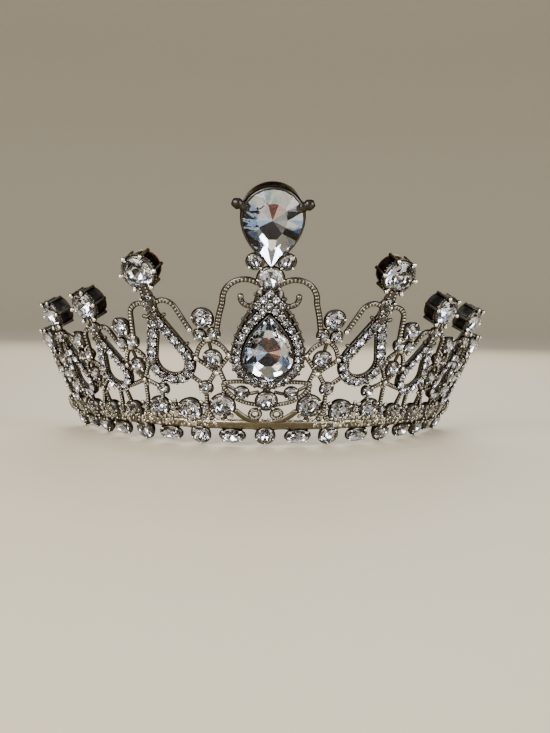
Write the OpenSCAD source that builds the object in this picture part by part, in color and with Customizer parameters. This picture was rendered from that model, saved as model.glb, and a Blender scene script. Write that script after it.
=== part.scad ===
// Flared tiara of cast white metal, set with foil-backed crystal stones.
// Millimetres. +Z is up and the front faces -Y. The origin is under the middle
// stone of the base row, on the plane that the tiara rests on.

/* [Plan and wall] */
// radius of the circle through the base stones
base_radius = 58; // [57:0.5:59]
// lean of the wall outward from upright, degrees
flare = 27; // [26:0.5:28]
// half angle at which the ends stop, counted along the base circle
end_half_angle = 78; // [77:0.5:79]
// thickness of the openwork wall
wall_t = 1.5; // [1.4:0.05:1.6]

/* [Base band] */
// lower edge of the band, up the wall from the base stones
band_low = 1.3; // [1.2:0.1:1.5]
// upper edge of the band
band_high = 4.8; // [4.6:0.1:5]
// angle between neighbouring base stones
base_pitch = 8.79; // [8.7:0.01:8.85]

/* [Settings] */
// metal around a stone
cup_wall = 0.75; // [0.75:0.05:0.85]
// gap between a stone and its seat
seat_gap = 0.08; // [0.06:0.01:0.1]
// metal behind a stone
cup_floor = 0.8; // [0.7:0.1:0.9]
// prongs round each point stone
peak_prongs = 6; // [5:1:7]
// prong diameter
prong_d = 1.3; // [1.2:0.1:1.4]

/* [Wires] */
// width of scroll and lattice wires
wire_w = 1.3; // [1.2:0.05:1.4]
// thickness of those wires, less than the openwork wall's
wire_t = 1.2; // [1.1:0.05:1.25]
// round knot at a wire's end
knot_d = 1.9; // [1.8:0.1:2]

/* [Stones] */
// width of the upper pear stone
upper_pear_w = 14.2; // [14:0.1:14.4]
// width of the lower pear stone
lower_pear_w = 12.8; // [12.6:0.1:13]
// crown height as a share of a round stone's diameter
crown_share = 0.17; // [0.15:0.01:0.19]
// depth below the girdle as a share of a round stone's diameter
pavilion_share = 0.38; // [0.36:0.01:0.4]
// height of the girdle
girdle_h = 0.4; // [0.3:0.05:0.5]

/* [Hidden] */
$fn = 48;
eps = 0.01;
// straight steps round the wide end of a drop outline
drop_steps = 28;
// straight steps along each side of a pear stone
pear_steps = 10;
// half angle of the round front, degrees; past it the ends run straight
round_half_angle = 60;
// stones in the base row on each side of the middle one
base_side_count = 8;
cone_slant = base_radius / sin(flare);
fan_half = round_half_angle * sin(flare);
arc_per_degree = base_radius * PI / 180;
base_cup_r = 3.1;
knot_t = wire_t + 0.14;
stay_t = wire_t - 0.2;
base_cup_out = 1;
seat_z = base_cup_r * cos(flare) + base_cup_out * sin(flare);

// Positions below are [x, y] in the flat pattern of the wall's right half.
// x runs along it and y up it, both from the middle base stone.

// side points: x, y, turn, scale, stone diameter
POINTS = [
    [25.8, 20.7, 18.4, 1.00, 8.2],
    [43.6, 11.6, 26.5, 0.80, 7.6],
    [58.8, 2.6, 30.5, 0.80, 7.2],
    [69.0, -7.0, 31.5, 0.62, 6.4],
];
// valleys between points: x, y, turn, stone diameter, drop to the lattice
// stone, half width of the lattice diamond
VALLEYS = [
    [16.9, 35.0, 12.7, 4.8, 11.8, 4.6],
    [40.2, 27.6, 23.0, 4.4, 11.6, 3.9],
    [57.0, 17.4, 28.0, 4.2, 10.8, 3.9],
    [68.2, 4.6, 30.0, 4.2, 9.0, 3.2],
];
// second row: x, y, stone diameter
ROW = [
    [11.6, 9.2, 6.0],
    [20.7, 6.3, 6.0],
    [29.6, 5.4, 4.8],
    [38.5, 0.8, 4.8],
    [47.3, -3.2, 5.2],
    [56.1, -7.3, 4.8],
    [63.9, -11.2, 4.8],
    [71.4, -15.6, 4.6],
];
// other small cups: x, y, stone diameter
SMALL = [
    [3.9, 51.6, 3.7],
    [6.5, 13.7, 3.2],
    [16.1, 14.3, 3.2],
    [28.3, 11.4, 2.8],
];
// lattice wires: x, y, x, y; they are trimmed round the stones that they reach
LINKS = [
    [2.0, 16.6, 11.2, 16.6],
    [11.2, 16.6, 8.2, 11.8],
    [8.2, 11.8, 2.4, 9.6],
    [12.6, 20.2, 11.2, 16.6],
    [13.4, 19.6, 16.1, 14.3],
    [11.2, 16.6, 11.6, 9.2],
    [16.1, 14.3, 20.6, 17.4],
    [16.3, 14.3, 15.7, 7.0],
    [15.7, 7.0, 17.2, 2.6],
    [15.7, 7.0, 13.2, 2.4],
    [28.3, 15.6, 28.3, 11.4],
    [28.3, 11.4, 29.3, 5.4],
    [28.3, 11.4, 33.9, 12.7],
    [33.9, 12.7, 33.2, -0.8],
    [20.7, 6.3, 29.6, 5.4],
    [38.5, 0.8, 41.2, 7.3],
    [33.9, 12.7, 38.9, 9.0],
    [49.8, 3.8, 47.3, -3.2],
    [49.8, 3.8, 47.4, 7.8],
    [43.2, 7.0, 42.6, -3.4],
    [49.8, 3.8, 54.2, 3.0],
    [49.8, 3.8, 51.6, -7.0],
    [56.1, -7.3, 57.4, -2.0],
    [61.4, -7.2, 63.9, -11.2],
    [67.6, -10.2, 67.0, -15.2],
    [71.6, -9.9, 71.4, -15.6],
];

// Flat pattern to wall: angle along the base circle, then height up the wall

function past_round(x, y) = x * cos(fan_half) - (y + cone_slant) * sin(fan_half);
function wall_angle(x, y) = past_round(x, y) > 0
    ? round_half_angle + past_round(x, y) / arc_per_degree
    : atan2(x, y + cone_slant) / sin(flare);
function wall_height(x, y) = past_round(x, y) > 0
    ? x * sin(fan_half) + (y + cone_slant) * cos(fan_half) - cone_slant
    : norm([x, y + cone_slant]) - cone_slant;
function facing(t) = min(t, round_half_angle);
function wall_point(t, s) = let (
    r = base_radius + s * sin(flare),
    run = max(0, t - round_half_angle) * arc_per_degree
) [
    r * sin(facing(t)) + run * cos(facing(t)),
    base_radius - r * cos(facing(t)) + run * sin(facing(t)),
    seat_z + s * cos(flare),
];

// Children lie flat on the wall at angle t and height s: x along, y up, z out
module on_wall(t, s, lean = 0) {
    translate(wall_point(t, s))
        rotate([90 + flare, 0, facing(t)])
            rotate([0, 0, -lean])
                children();
}

// The same from a place in the flat pattern, turned as the pattern shows it
module on_pattern(x, y, turn = 0) {
    t = wall_angle(x, y);
    on_wall(t, wall_height(x, y), turn - facing(t) * sin(flare)) children();
}

module both_sides() {
    children();
    mirror([1, 0, 0]) children();
}

// Wires, square in section and lying in the wall

module curved_wire(centre, radius, from, to) {
    translate([centre[0], centre[1], 0])
        rotate([0, 0, from])
            rotate_extrude(angle = to - from)
                translate([radius, 0])
                    square([wire_w, wire_t], center = true);
}

module knot(x, y, d = knot_d) {
    translate([x, y, 0])
        cylinder(d = d, h = knot_t, center = true);
}

module flat_wire(x0, y0, x1, y1) {
    translate([(x0 + x1) / 2, (y0 + y1) / 2, 0])
        rotate([0, 0, atan2(y1 - y0, x1 - x0)])
            cube([norm([x1 - x0, y1 - y0]), wire_w, wire_t], center = true);
}

// A straight wire between two places in the flat pattern
module link(row) {
    dx = (row[2] - row[0]) / 2;
    dy = (row[3] - row[1]) / 2;
    on_pattern(row[0] + dx, row[1] + dy)
        flat_wire(-dx, -dy, dx, dy);
}

// Outlines

function drop_points(r, length) = let (rise = asin(r / length)) concat(
    [[0, length]],
    [
        for (k = [0 : drop_steps])
            let (a = rise - k * (180 + 2 * rise) / drop_steps)
                [r * cos(a), r * sin(a)],
    ]
);

module drop_outline(r, length) {
    polygon(drop_points(r, length));
}

// The pear stones are fuller: their sides bow out on the way to the tip
function pear_side(t, r, length) = [r * (1 - t * t), t * length];

module pear_outline(r, length) {
    polygon(concat(
        [for (k = [0 : pear_steps]) pear_side(1 - k / pear_steps, r, length)],
        [for (k = [1 : 2 * pear_steps]) let (a = -90 * k / pear_steps) [r * cos(a), r * sin(a)]],
        [for (k = [1 : pear_steps - 1]) let (p = pear_side(k / pear_steps, r, length)) [-p[0], p[1]]]
    ));
}

module plate(t = wall_t) {
    translate([0, 0, -t / 2])
        linear_extrude(t)
            children();
}

// Round stones and their cups: z = 0 is the girdle

module round_stone(d) {
    rotate_extrude()
        polygon([
            [0, -pavilion_share * d],
            [d / 2, -girdle_h / 2],
            [d / 2, girdle_h / 2],
            [d * 0.3, crown_share * d],
            [0, crown_share * d],
        ]);
}

module round_seat(d) {
    depth = pavilion_share * d + seat_gap;
    translate([0, 0, -depth])
        cylinder(r = d / 2 + seat_gap, h = depth + 2.6);
}

// Room for a stone and half of its cup's wall, cut from wires before the cup joins them
module round_clearance(d) {
    depth = pavilion_share * d + cup_floor / 2;
    translate([0, 0, -depth])
        cylinder(r = d / 2 + cup_wall / 2, h = depth + 2.6);
}

module round_blank(d, extra = 0) {
    depth = pavilion_share * d + cup_floor + extra;
    translate([0, 0, -depth])
        cylinder(r = d / 2 + cup_wall, h = depth + 0.1);
}

module round_cup(d, extra = 0) {
    difference() {
        round_blank(d, extra);
        round_seat(d);
    }
}

// Oval stones of the base row: a short bar with round ends

module oval_outline(grow) {
    translate([-1.1, 0]) circle(r = 1.9 + grow);
    translate([1.1, 0]) circle(r = 1.9 + grow);
    square([2.2, 3.8 + 2 * grow], center = true);
}

module oval_stone() {
    translate([0, 0, -girdle_h / 2])
        linear_extrude(girdle_h)
            oval_outline(0);
    translate([0, 0, girdle_h / 2 - eps])
        linear_extrude(0.4)
            oval_outline(-0.5);
    translate([0, 0, -1.2])
        linear_extrude(1.1)
            oval_outline(-0.5);
}

module oval_cup() {
    translate([0, 0, -oval_depth - cup_floor])
        linear_extrude(oval_depth + cup_floor + 0.1)
            oval_outline(cup_wall);
}

module oval_seat() {
    translate([0, 0, -oval_depth])
        linear_extrude(oval_depth + 2.6)
            oval_outline(seat_gap);
}

// Pear stones and their cups: the origin is the middle of the round end

module pear_stone(w, length, crown, pavilion) {
    hull() {
        translate([0, 0, -girdle_h / 2])
            linear_extrude(girdle_h)
                pear_outline(w / 2, length);
        translate([0, w * 0.06, crown - eps])
            linear_extrude(eps)
                pear_outline(w * 0.29, length * 0.56);
        translate([0, w * 0.1, -pavilion])
            cylinder(r = w * 0.05, h = eps);
    }
}

module pear_seat(w, length, pavilion) {
    translate([0, 0, -pavilion - seat_gap])
        linear_extrude(pavilion + seat_gap + 2.6)
            pear_outline(w / 2 + seat_gap, length + 2 * seat_gap);
}

module pear_cup(w, length, pavilion) {
    depth = pavilion + cup_floor;
    translate([0, 0, -depth])
        linear_extrude(depth + 0.1)
            pear_outline(w / 2 + cup_wall, length + 1.9 * cup_wall);
}

// Places of the stones

upper_pear_y = 63.2;
upper_pear_l = 12.2;
upper_pear_out = 1.6;
lower_pear_y = 24.6;
lower_pear_l = 12.6;
lower_pear_out = 1.5;
pear_crown = 1.9;
pear_pavilion = 3.2;
neck_stone_d = 6;
neck_stone_y = 47;
drop_stone_d = 5;
drop_stone_y = 11.3;
lattice_stone_d = 4.2;
lattice_small_d = 3.6;
oval_depth = 1.3;
small_valley_d = 2.8;
small_valley_x = 1.9;
stone_out = 0.9;
peak_out = 0.3;
peak_depth = 1.4;
peak_rise = 25.6;
neck_small_d = 3.5;
neck_small_rise = 17.4;

module at_upper_pear() {
    on_wall(0, upper_pear_y)
        translate([0, 0, upper_pear_out])
            rotate([0, 0, 180])
                children();
}

module at_lower_pear() {
    on_wall(0, lower_pear_y)
        translate([0, 0, lower_pear_out])
            children();
}

module at_middle(y) {
    on_wall(0, y)
        translate([0, 0, stone_out])
            children();
}

module at_peak(i) {
    p = POINTS[i];
    on_pattern(p[0], p[1], p[2])
        translate([0, peak_rise * p[3], peak_out])
            children();
}

module at_neck(i) {
    p = POINTS[i];
    on_pattern(p[0], p[1], p[2])
        translate([0, neck_rise(i), stone_out])
            children();
}

module at_valley(i) {
    v = VALLEYS[i];
    on_pattern(v[0], v[1], v[2])
        translate([0, 0, stone_out])
            children();
}

module at_lattice(i) {
    v = VALLEYS[i];
    on_pattern(v[0], v[1], v[2])
        translate([0, -v[4], stone_out])
            children();
}

module at_small_valley(i) {
    v = VALLEYS[i];
    on_pattern(v[0], v[1], v[2])
        for (side = [-1, 1])
            translate([side * small_valley_x, -4.6, stone_out])
                children();
}

module at_small(c) {
    on_pattern(c[0], c[1])
        translate([0, 0, stone_out])
            children();
}

module at_row(i) {
    on_pattern(ROW[i][0], ROW[i][1])
        translate([0, 0, stone_out])
            children();
}

module at_base(i) {
    on_wall(i * base_pitch, 0)
        translate([0, 0, stone_out])
            children();
}

function base_d(i) = i == 0 ? 4.5 : 4.7;
function neck_small(i) = neck_small_d * sqrt(POINTS[i][3]);
function neck_rise(i) = min(
    neck_small_rise * POINTS[i][3],
    peak_rise * POINTS[i][3] - (POINTS[i][4] + neck_small(i)) / 2 - cup_wall - 0.2
);
function lattice_d(i) = i == 0 ? lattice_stone_d : lattice_small_d;
function is_oval(i) = i % 2 == 1;

// Metal of each motif

module point_plate(i) {
    k = POINTS[i][3];
    difference() {
        union() {
            circle(r = 7 * k);
            polygon([
                [-6.55 * k, 2.47 * k],
                [-2 * k, 14.5 * k],
                [-2 * k, peak_rise * k],
                [2 * k, peak_rise * k],
                [2 * k, 14.5 * k],
                [6.55 * k, 2.47 * k],
            ]);
        }
        drop_outline(3.9 * k, 9.8 * k);
    }
}

module point_scroll(k) {
    bend = [3.3 * k, 13.9 * k];
    r = 3.5 * k;
    foot = [8.5 * k, 8.2 * k];
    curved_wire(bend, r, 16, 118);
    flat_wire(bend[0] + r * cos(16), bend[1] + r * sin(16), foot[0], foot[1]);
    knot(foot[0], foot[1]);
}

module point_openwork(i) {
    p = POINTS[i];
    k = p[3];
    on_pattern(p[0], p[1], p[2]) {
        plate()
            point_plate(i);
        point_scroll(k);
        mirror([1, 0, 0]) point_scroll(k);
    }
}

module point_cups(i) {
    d = POINTS[i][4];
    at_peak(i) {
        round_cup(d, peak_depth);
        for (a = [1 : peak_prongs])
            rotate([0, 0, a * 360 / peak_prongs])
                translate([d / 2 + seat_gap + prong_d / 2 + 0.06, 0, -1.6])
                    cylinder(d = prong_d, h = 2.6);
    }
    at_neck(i)
        round_cup(neck_small(i));
}

module valley_openwork(i) {
    v = VALLEYS[i];
    w = v[5];
    low = v[4] + 4.6;
    on_pattern(v[0], v[1], v[2]) {
        for (side = [-1, 1]) {
            flat_wire(0, -6.1, side * w, 0.3 - v[4]);
            flat_wire(side * w, 0.3 - v[4], 0, -low);
            knot(side * w, 0.3 - v[4]);
        }
        knot(0, -6.1);
        knot(0, -low);
        flat_wire(0, -6.1, 0, -low);
    }
}

module valley_cups(i) {
    at_valley(i)
        round_cup(VALLEYS[i][3]);
    at_small_valley(i)
        round_cup(small_valley_d);
    at_lattice(i)
        round_cup(lattice_d(i));
}

module centre_plate() {
    plate() {
        translate([0, 25])
            circle(r = 9.7);
        polygon([
            [-8.9, 28.8],
            [-6.4, 36],
            [-4.4, 39],
            [-3.2, 44],
            [3.2, 44],
            [4.4, 39],
            [6.4, 36],
            [8.9, 28.8],
        ]);
    }
}

module scrolls() {
    curved_wire([6.3, 41.2], 5.5, -2, 122);
    flat_wire(11.8, 41.4, 13.5, 31.4);
    knot(11.8, 41.3);
    knot(13.5, 31.4);
    curved_wire([5, 41.7], 2.3, -110, 10);
    knot(7.3, 42.1, 1.8);
    curved_wire([2.9, 6.9], 1.35, 0, 360);
    curved_wire([0, 14.48], 10.45, -91, -42);
}

module centre_metal() {
    difference() {
        union() {
            on_wall(0, 0) {
                centre_plate();
                scrolls();
                mirror([1, 0, 0]) scrolls();
                plate(stay_t)
                    translate([-1, 3])
                        square([2, 13.5]);
            }
            at_upper_pear()
                pear_cup(upper_pear_w, upper_pear_l, pear_pavilion);
            at_upper_pear()
                for (side = [-1, 1])
                    rotate([0, 0, side * 111])
                        translate([0, upper_pear_w / 2 + 1.6, -0.8])
                            rotate([-90, 0, 0])
                                cylinder(d = 2.6, h = 2.8, center = true);
            at_lower_pear()
                pear_cup(lower_pear_w, lower_pear_l, pear_pavilion);
            at_middle(neck_stone_y)
                round_blank(neck_stone_d);
            at_middle(drop_stone_y)
                round_blank(drop_stone_d);
        }
        at_upper_pear() pear_seat(upper_pear_w, upper_pear_l, pear_pavilion);
        at_lower_pear() pear_seat(lower_pear_w, lower_pear_l, pear_pavilion);
        at_middle(neck_stone_y) round_seat(neck_stone_d);
        at_middle(drop_stone_y) round_seat(drop_stone_d);
        both_sides() {
            at_valley(0) round_clearance(VALLEYS[0][3]);
            at_small_valley(0) round_clearance(small_valley_d);
            at_small(SMALL[0]) round_clearance(SMALL[0][2]);
        }
    }
}

module band_outline() {
    h = wall_t / 2;
    polygon([
        for (c = [[band_low, -h], [band_low, h], [band_high, h], [band_high, -h]])
            [
                base_radius + c[0] * sin(flare) + c[1] * cos(flare),
                seat_z + c[0] * cos(flare) - c[1] * sin(flare),
            ]
    ]);
}

module band_metal() {
    end_run = (end_half_angle - round_half_angle) * arc_per_degree;
    translate([0, base_radius, 0]) {
        rotate([0, 0, -90 - round_half_angle])
            rotate_extrude(angle = 2 * round_half_angle)
                band_outline();
        both_sides()
            rotate([0, 0, round_half_angle - 90])
                rotate([90, 0, 0])
                    mirror([0, 0, 1])
                        linear_extrude(end_run)
                            band_outline();
    }
}

// The band with the base row and the second row on it, one side of both rows

module row_blanks() {
    for (i = [1 : base_side_count])
        at_base(i)
            if (is_oval(i))
                oval_cup();
            else
                round_blank(base_d(i));
    for (i = [0 : len(ROW) - 1]) {
        top = wall_height(ROW[i][0], ROW[i][1]);
        at_row(i)
            round_blank(ROW[i][2]);
        on_wall(wall_angle(ROW[i][0], ROW[i][1]), (band_high + top) / 2)
            cube([2.4, top - band_high + 2, stay_t], center = true);
    }
}

module base_seats(first) {
    for (i = [first : 2 : base_side_count])
        at_base(i)
            if (is_oval(i))
                oval_seat();
            else
                round_seat(base_d(i));
}

module row_seats() {
    for (i = [0 : len(ROW) - 1])
        at_row(i)
            round_seat(ROW[i][2]);
}

module rows_metal() {
    difference() {
        union() {
            band_metal();
            at_base(0) round_blank(base_d(0));
            both_sides()
                row_blanks();
        }
        at_base(0) round_seat(base_d(0));
        base_seats(1);
        base_seats(2);
        row_seats();
        mirror([1, 0, 0]) base_seats(1);
        mirror([1, 0, 0]) base_seats(2);
        mirror([1, 0, 0]) row_seats();
    }
}

// Sub-parts

module side_openwork() {
    for (i = [0 : len(POINTS) - 1]) {
        point_openwork(i);
        valley_openwork(i);
    }
    for (row = LINKS)
        link(row);
}

module side_clearances() {
    for (i = [0 : len(POINTS) - 1]) {
        at_peak(i) round_clearance(POINTS[i][4]);
        at_neck(i) round_clearance(neck_small(i));
        at_valley(i) round_clearance(VALLEYS[i][3]);
        at_small_valley(i) round_clearance(small_valley_d);
        at_lattice(i) round_clearance(lattice_d(i));
    }
    for (i = [0 : len(ROW) - 1])
        at_row(i) round_clearance(ROW[i][2]);
    for (c = SMALL)
        at_small(c) round_clearance(c[2]);
}

module side_metal() {
    difference() {
        side_openwork();
        side_clearances();
    }
    for (i = [0 : len(POINTS) - 1]) {
        point_cups(i);
        valley_cups(i);
    }
    for (c = SMALL)
        at_small(c)
            round_cup(c[2]);
}

module frame() {
    color([0.42, 0.41, 0.4]) {
        rows_metal();
        centre_metal();
        both_sides()
            side_metal();
    }
}

module glass() {
    color([0.86, 0.89, 0.93])
        children();
}

module left() {
    mirror([1, 0, 0])
        children();
}

module upper_pear() {
    glass() at_upper_pear() pear_stone(upper_pear_w, upper_pear_l, pear_crown, pear_pavilion);
}

module lower_pear() {
    glass() at_lower_pear() pear_stone(lower_pear_w, lower_pear_l, pear_crown, pear_pavilion);
}

module neck_stone() {
    glass() at_middle(neck_stone_y) round_stone(neck_stone_d);
}

module drop_stone() {
    glass() at_middle(drop_stone_y) round_stone(drop_stone_d);
}

module peak_stone_l1() {
    glass() left() at_peak(0) round_stone(POINTS[0][4]);
}

module peak_stone_l2() {
    glass() left() at_peak(1) round_stone(POINTS[1][4]);
}

module peak_stone_l3() {
    glass() left() at_peak(2) round_stone(POINTS[2][4]);
}

module peak_stone_l4() {
    glass() left() at_peak(3) round_stone(POINTS[3][4]);
}

module peak_stone_r1() {
    glass() at_peak(0) round_stone(POINTS[0][4]);
}

module peak_stone_r2() {
    glass() at_peak(1) round_stone(POINTS[1][4]);
}

module peak_stone_r3() {
    glass() at_peak(2) round_stone(POINTS[2][4]);
}

module peak_stone_r4() {
    glass() at_peak(3) round_stone(POINTS[3][4]);
}

module valley_stone_l1() {
    glass() left() at_valley(0) round_stone(VALLEYS[0][3]);
}

module valley_stone_l2() {
    glass() left() at_valley(1) round_stone(VALLEYS[1][3]);
}

module valley_stone_l3() {
    glass() left() at_valley(2) round_stone(VALLEYS[2][3]);
}

module valley_stone_l4() {
    glass() left() at_valley(3) round_stone(VALLEYS[3][3]);
}

module valley_stone_r1() {
    glass() at_valley(0) round_stone(VALLEYS[0][3]);
}

module valley_stone_r2() {
    glass() at_valley(1) round_stone(VALLEYS[1][3]);
}

module valley_stone_r3() {
    glass() at_valley(2) round_stone(VALLEYS[2][3]);
}

module valley_stone_r4() {
    glass() at_valley(3) round_stone(VALLEYS[3][3]);
}

module lattice_stone_l1() {
    glass() left() at_lattice(0) round_stone(lattice_stone_d);
}

module lattice_stone_r1() {
    glass() at_lattice(0) round_stone(lattice_stone_d);
}

module row_stone_l1() {
    glass() left() at_row(0) round_stone(ROW[0][2]);
}

module row_stone_l2() {
    glass() left() at_row(1) round_stone(ROW[1][2]);
}

module row_stone_l3() {
    glass() left() at_row(2) round_stone(ROW[2][2]);
}

module row_stone_l4() {
    glass() left() at_row(3) round_stone(ROW[3][2]);
}

module row_stone_l5() {
    glass() left() at_row(4) round_stone(ROW[4][2]);
}

module row_stone_l6() {
    glass() left() at_row(5) round_stone(ROW[5][2]);
}

module row_stone_l7() {
    glass() left() at_row(6) round_stone(ROW[6][2]);
}

module row_stone_l8() {
    glass() left() at_row(7) round_stone(ROW[7][2]);
}

module row_stone_r1() {
    glass() at_row(0) round_stone(ROW[0][2]);
}

module row_stone_r2() {
    glass() at_row(1) round_stone(ROW[1][2]);
}

module row_stone_r3() {
    glass() at_row(2) round_stone(ROW[2][2]);
}

module row_stone_r4() {
    glass() at_row(3) round_stone(ROW[3][2]);
}

module row_stone_r5() {
    glass() at_row(4) round_stone(ROW[4][2]);
}

module row_stone_r6() {
    glass() at_row(5) round_stone(ROW[5][2]);
}

module row_stone_r7() {
    glass() at_row(6) round_stone(ROW[6][2]);
}

module row_stone_r8() {
    glass() at_row(7) round_stone(ROW[7][2]);
}

module base_stones() {
    glass() {
        at_base(0) round_stone(base_d(0));
        both_sides()
            for (i = [1 : base_side_count])
                at_base(i)
                    if (is_oval(i))
                        oval_stone();
                    else
                        round_stone(base_d(i));
    }
}

module small_stones() {
    glass()
        both_sides() {
            for (i = [0 : len(POINTS) - 1]) {
                at_neck(i) round_stone(neck_small(i));
                at_small_valley(i) round_stone(small_valley_d);
            }
            for (i = [1 : len(VALLEYS) - 1])
                at_lattice(i) round_stone(lattice_small_d);
            for (c = SMALL)
                at_small(c) round_stone(c[2]);
        }
}

frame();
upper_pear();
lower_pear();
neck_stone();
drop_stone();
peak_stone_l1();
peak_stone_l2();
peak_stone_l3();
peak_stone_l4();
peak_stone_r1();
peak_stone_r2();
peak_stone_r3();
peak_stone_r4();
valley_stone_l1();
valley_stone_l2();
valley_stone_l3();
valley_stone_l4();
valley_stone_r1();
valley_stone_r2();
valley_stone_r3();
valley_stone_r4();
lattice_stone_l1();
lattice_stone_r1();
row_stone_l1();
row_stone_l2();
row_stone_l3();
row_stone_l4();
row_stone_l5();
row_stone_l6();
row_stone_l7();
row_stone_l8();
row_stone_r1();
row_stone_r2();
row_stone_r3();
row_stone_r4();
row_stone_r5();
row_stone_r6();
row_stone_r7();
row_stone_r8();
base_stones();
small_stones();
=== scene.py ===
"""Looks of a rhinestone tiara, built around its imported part.

Sizes are millimetres and degrees in the part's own frame: +Z is up, the front
faces -Y and the origin is on the floor under the middle stone of the base row.
Places on the wall are given in its flat pattern: x runs along the wall and y up
it, both from that stone.
"""

import logging
import math
import random
from dataclasses import dataclass, field
from enum import Enum

import bmesh
import bpy
import numpy as np
from mathutils import Euler, Matrix, Vector

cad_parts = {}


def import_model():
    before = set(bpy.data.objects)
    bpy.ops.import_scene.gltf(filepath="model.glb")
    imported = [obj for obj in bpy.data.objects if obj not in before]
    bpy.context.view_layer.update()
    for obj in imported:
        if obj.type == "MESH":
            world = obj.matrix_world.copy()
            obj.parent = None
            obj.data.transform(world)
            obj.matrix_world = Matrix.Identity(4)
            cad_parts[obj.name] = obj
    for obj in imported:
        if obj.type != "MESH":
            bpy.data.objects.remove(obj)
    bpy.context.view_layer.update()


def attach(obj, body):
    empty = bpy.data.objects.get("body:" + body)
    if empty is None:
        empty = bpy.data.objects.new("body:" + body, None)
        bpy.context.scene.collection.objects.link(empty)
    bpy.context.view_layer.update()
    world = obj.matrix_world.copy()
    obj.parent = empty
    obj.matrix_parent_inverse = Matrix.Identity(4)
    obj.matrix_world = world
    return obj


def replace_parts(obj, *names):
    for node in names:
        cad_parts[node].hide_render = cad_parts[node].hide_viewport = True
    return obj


LOG = logging.getLogger("tiara")
MM = 0.001
BODY = "root"
# wear of plain backs, where some of the black has rubbed off
BACK = 0.42

Place = np.ndarray
Outline = np.ndarray
Spot = tuple[float, float]
Corner = tuple[float, float, float]
Colour = tuple[float, float, float]
Ring = tuple[Outline, float, float]
Materials = list[bpy.types.Material]

WHITE: Colour = (1.0, 1.0, 1.0)


class Slot(Enum):
    """Material slots of the record."""

    METAL = "metal"
    CRYSTAL = "crystal"


class Cut(Enum):
    """Ways in which a stone is faceted, by the number of its main facets."""

    ROUND = 8
    SMALL = 6
    PEAR = 12


class Layer(Enum):
    """Finishes of a stone, in the order of its materials."""

    GLASS = 0
    FOIL = 1


class Cast(Enum):
    """Finishes of a metal piece, in the order of its materials."""

    ANTIQUE = 0
    WARM = 1


class Axis(Enum):
    """Axes to turn about, each with the two coordinates that it turns."""

    Z = (0, 1)
    X = (1, 2)


# Places


def turned(degrees: float, axis: Axis = Axis.Z) -> Place:
    """Turns about an axis.

    Args:
        degrees: angle of the turn.
        axis: axis of the turn.

    Returns:
        A 4x4 place.
    """
    c, s = math.cos(math.radians(degrees)), math.sin(math.radians(degrees))
    spin = np.eye(4)
    first, second = axis.value
    spin[first, first], spin[first, second] = c, -s
    spin[second, first], spin[second, second] = s, c
    return spin


def moved(x: float = 0.0, y: float = 0.0, z: float = 0.0) -> Place:
    """Shifts along the axes.

    Args:
        x: shift along x.
        y: shift along y.
        z: shift along z.

    Returns:
        A 4x4 place.
    """
    shift = np.eye(4)
    shift[:3, 3] = x, y, z
    return shift


def scaled(x: float, y: float, z: float) -> Place:
    """Stretches along the axes."""
    return np.diag([x, y, z, 1.0])


# the right half is built, and the left is its mirror image
HALVES = {"r": np.eye(4), "l": scaled(-1.0, 1.0, 1.0)}


@dataclass(frozen=True)
class Wall:
    """The flared wall: a cone in front that runs out into straight ends.

    It stands on the cups of the base row.
    """

    base_radius: float = 58.0
    flare: float = 27.0
    round_half_angle: float = 60.0
    end_half_angle: float = 78.0
    cup_radius: float = 3.1
    cup_out: float = 1.0

    @property
    def slope(self) -> tuple[float, float]:
        """Sine and cosine of the flare."""
        return math.sin(math.radians(self.flare)), math.cos(math.radians(self.flare))

    def unroll(self, x: float, y: float) -> tuple[float, float]:
        """Finds a place of the flat pattern on the wall.

        Args:
            x: distance along the flat pattern from the middle.
            y: distance up the flat pattern.

        Returns:
            Angle along the base circle and height up the wall.
        """
        sin_flare = self.slope[0]
        slant = self.base_radius / sin_flare
        fan = math.radians(self.round_half_angle * sin_flare)
        past = x * math.cos(fan) - (y + slant) * math.sin(fan)
        if past > 0:
            angle = self.round_half_angle + math.degrees(past / self.base_radius)
            height = x * math.sin(fan) + (y + slant) * math.cos(fan) - slant
        else:
            angle = math.degrees(math.atan2(x, y + slant)) / sin_flare
            height = math.hypot(x, y + slant) - slant
        return angle, height

    def at(self, angle: float, height: float, lean: float = 0.0) -> Place:
        """Local place on the right half of the wall: x along, y up it, z outward.

        Args:
            angle: angle along the base circle.
            height: distance up the wall.
            lean: clockwise turn in the wall's plane.

        Returns:
            A 4x4 place.
        """
        sin_flare, cos_flare = self.slope
        facing = min(angle, self.round_half_angle)
        run = math.radians(max(0.0, angle - self.round_half_angle)) * self.base_radius
        radius = self.base_radius + height * sin_flare
        c, s = math.cos(math.radians(facing)), math.sin(math.radians(facing))
        seat = self.cup_radius * cos_flare + self.cup_out * sin_flare
        x, y = radius * s + run * c, self.base_radius - radius * c + run * s
        spot = moved(x, y, seat + height * cos_flare)
        return spot @ turned(facing) @ turned(90 + self.flare, Axis.X) @ turned(-lean)

    def pattern(self, x: float, y: float, turn: float = 0.0) -> Place:
        """The same from a place in the flat pattern.

        Args:
            x: distance along the flat pattern from the middle.
            y: distance up the flat pattern.
            turn: clockwise turn, as the flat pattern shows it.

        Returns:
            A 4x4 place.
        """
        angle, height = self.unroll(x, y)
        facing = min(angle, self.round_half_angle)
        return self.at(angle, height, turn - facing * self.slope[0])


WALL = Wall()


# Outlines and paths in a motif's own plane

# steps along a full drop's side before they are spaced evenly
FULL_STEPS = 60


def arc(centre: Spot, radius: float, start: float, end: float, steps: int) -> Outline:
    """Points along an arc, ends included."""
    angles = np.radians(np.linspace(start, end, steps))
    return radius * np.column_stack([np.cos(angles), np.sin(angles)]) + centre


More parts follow.
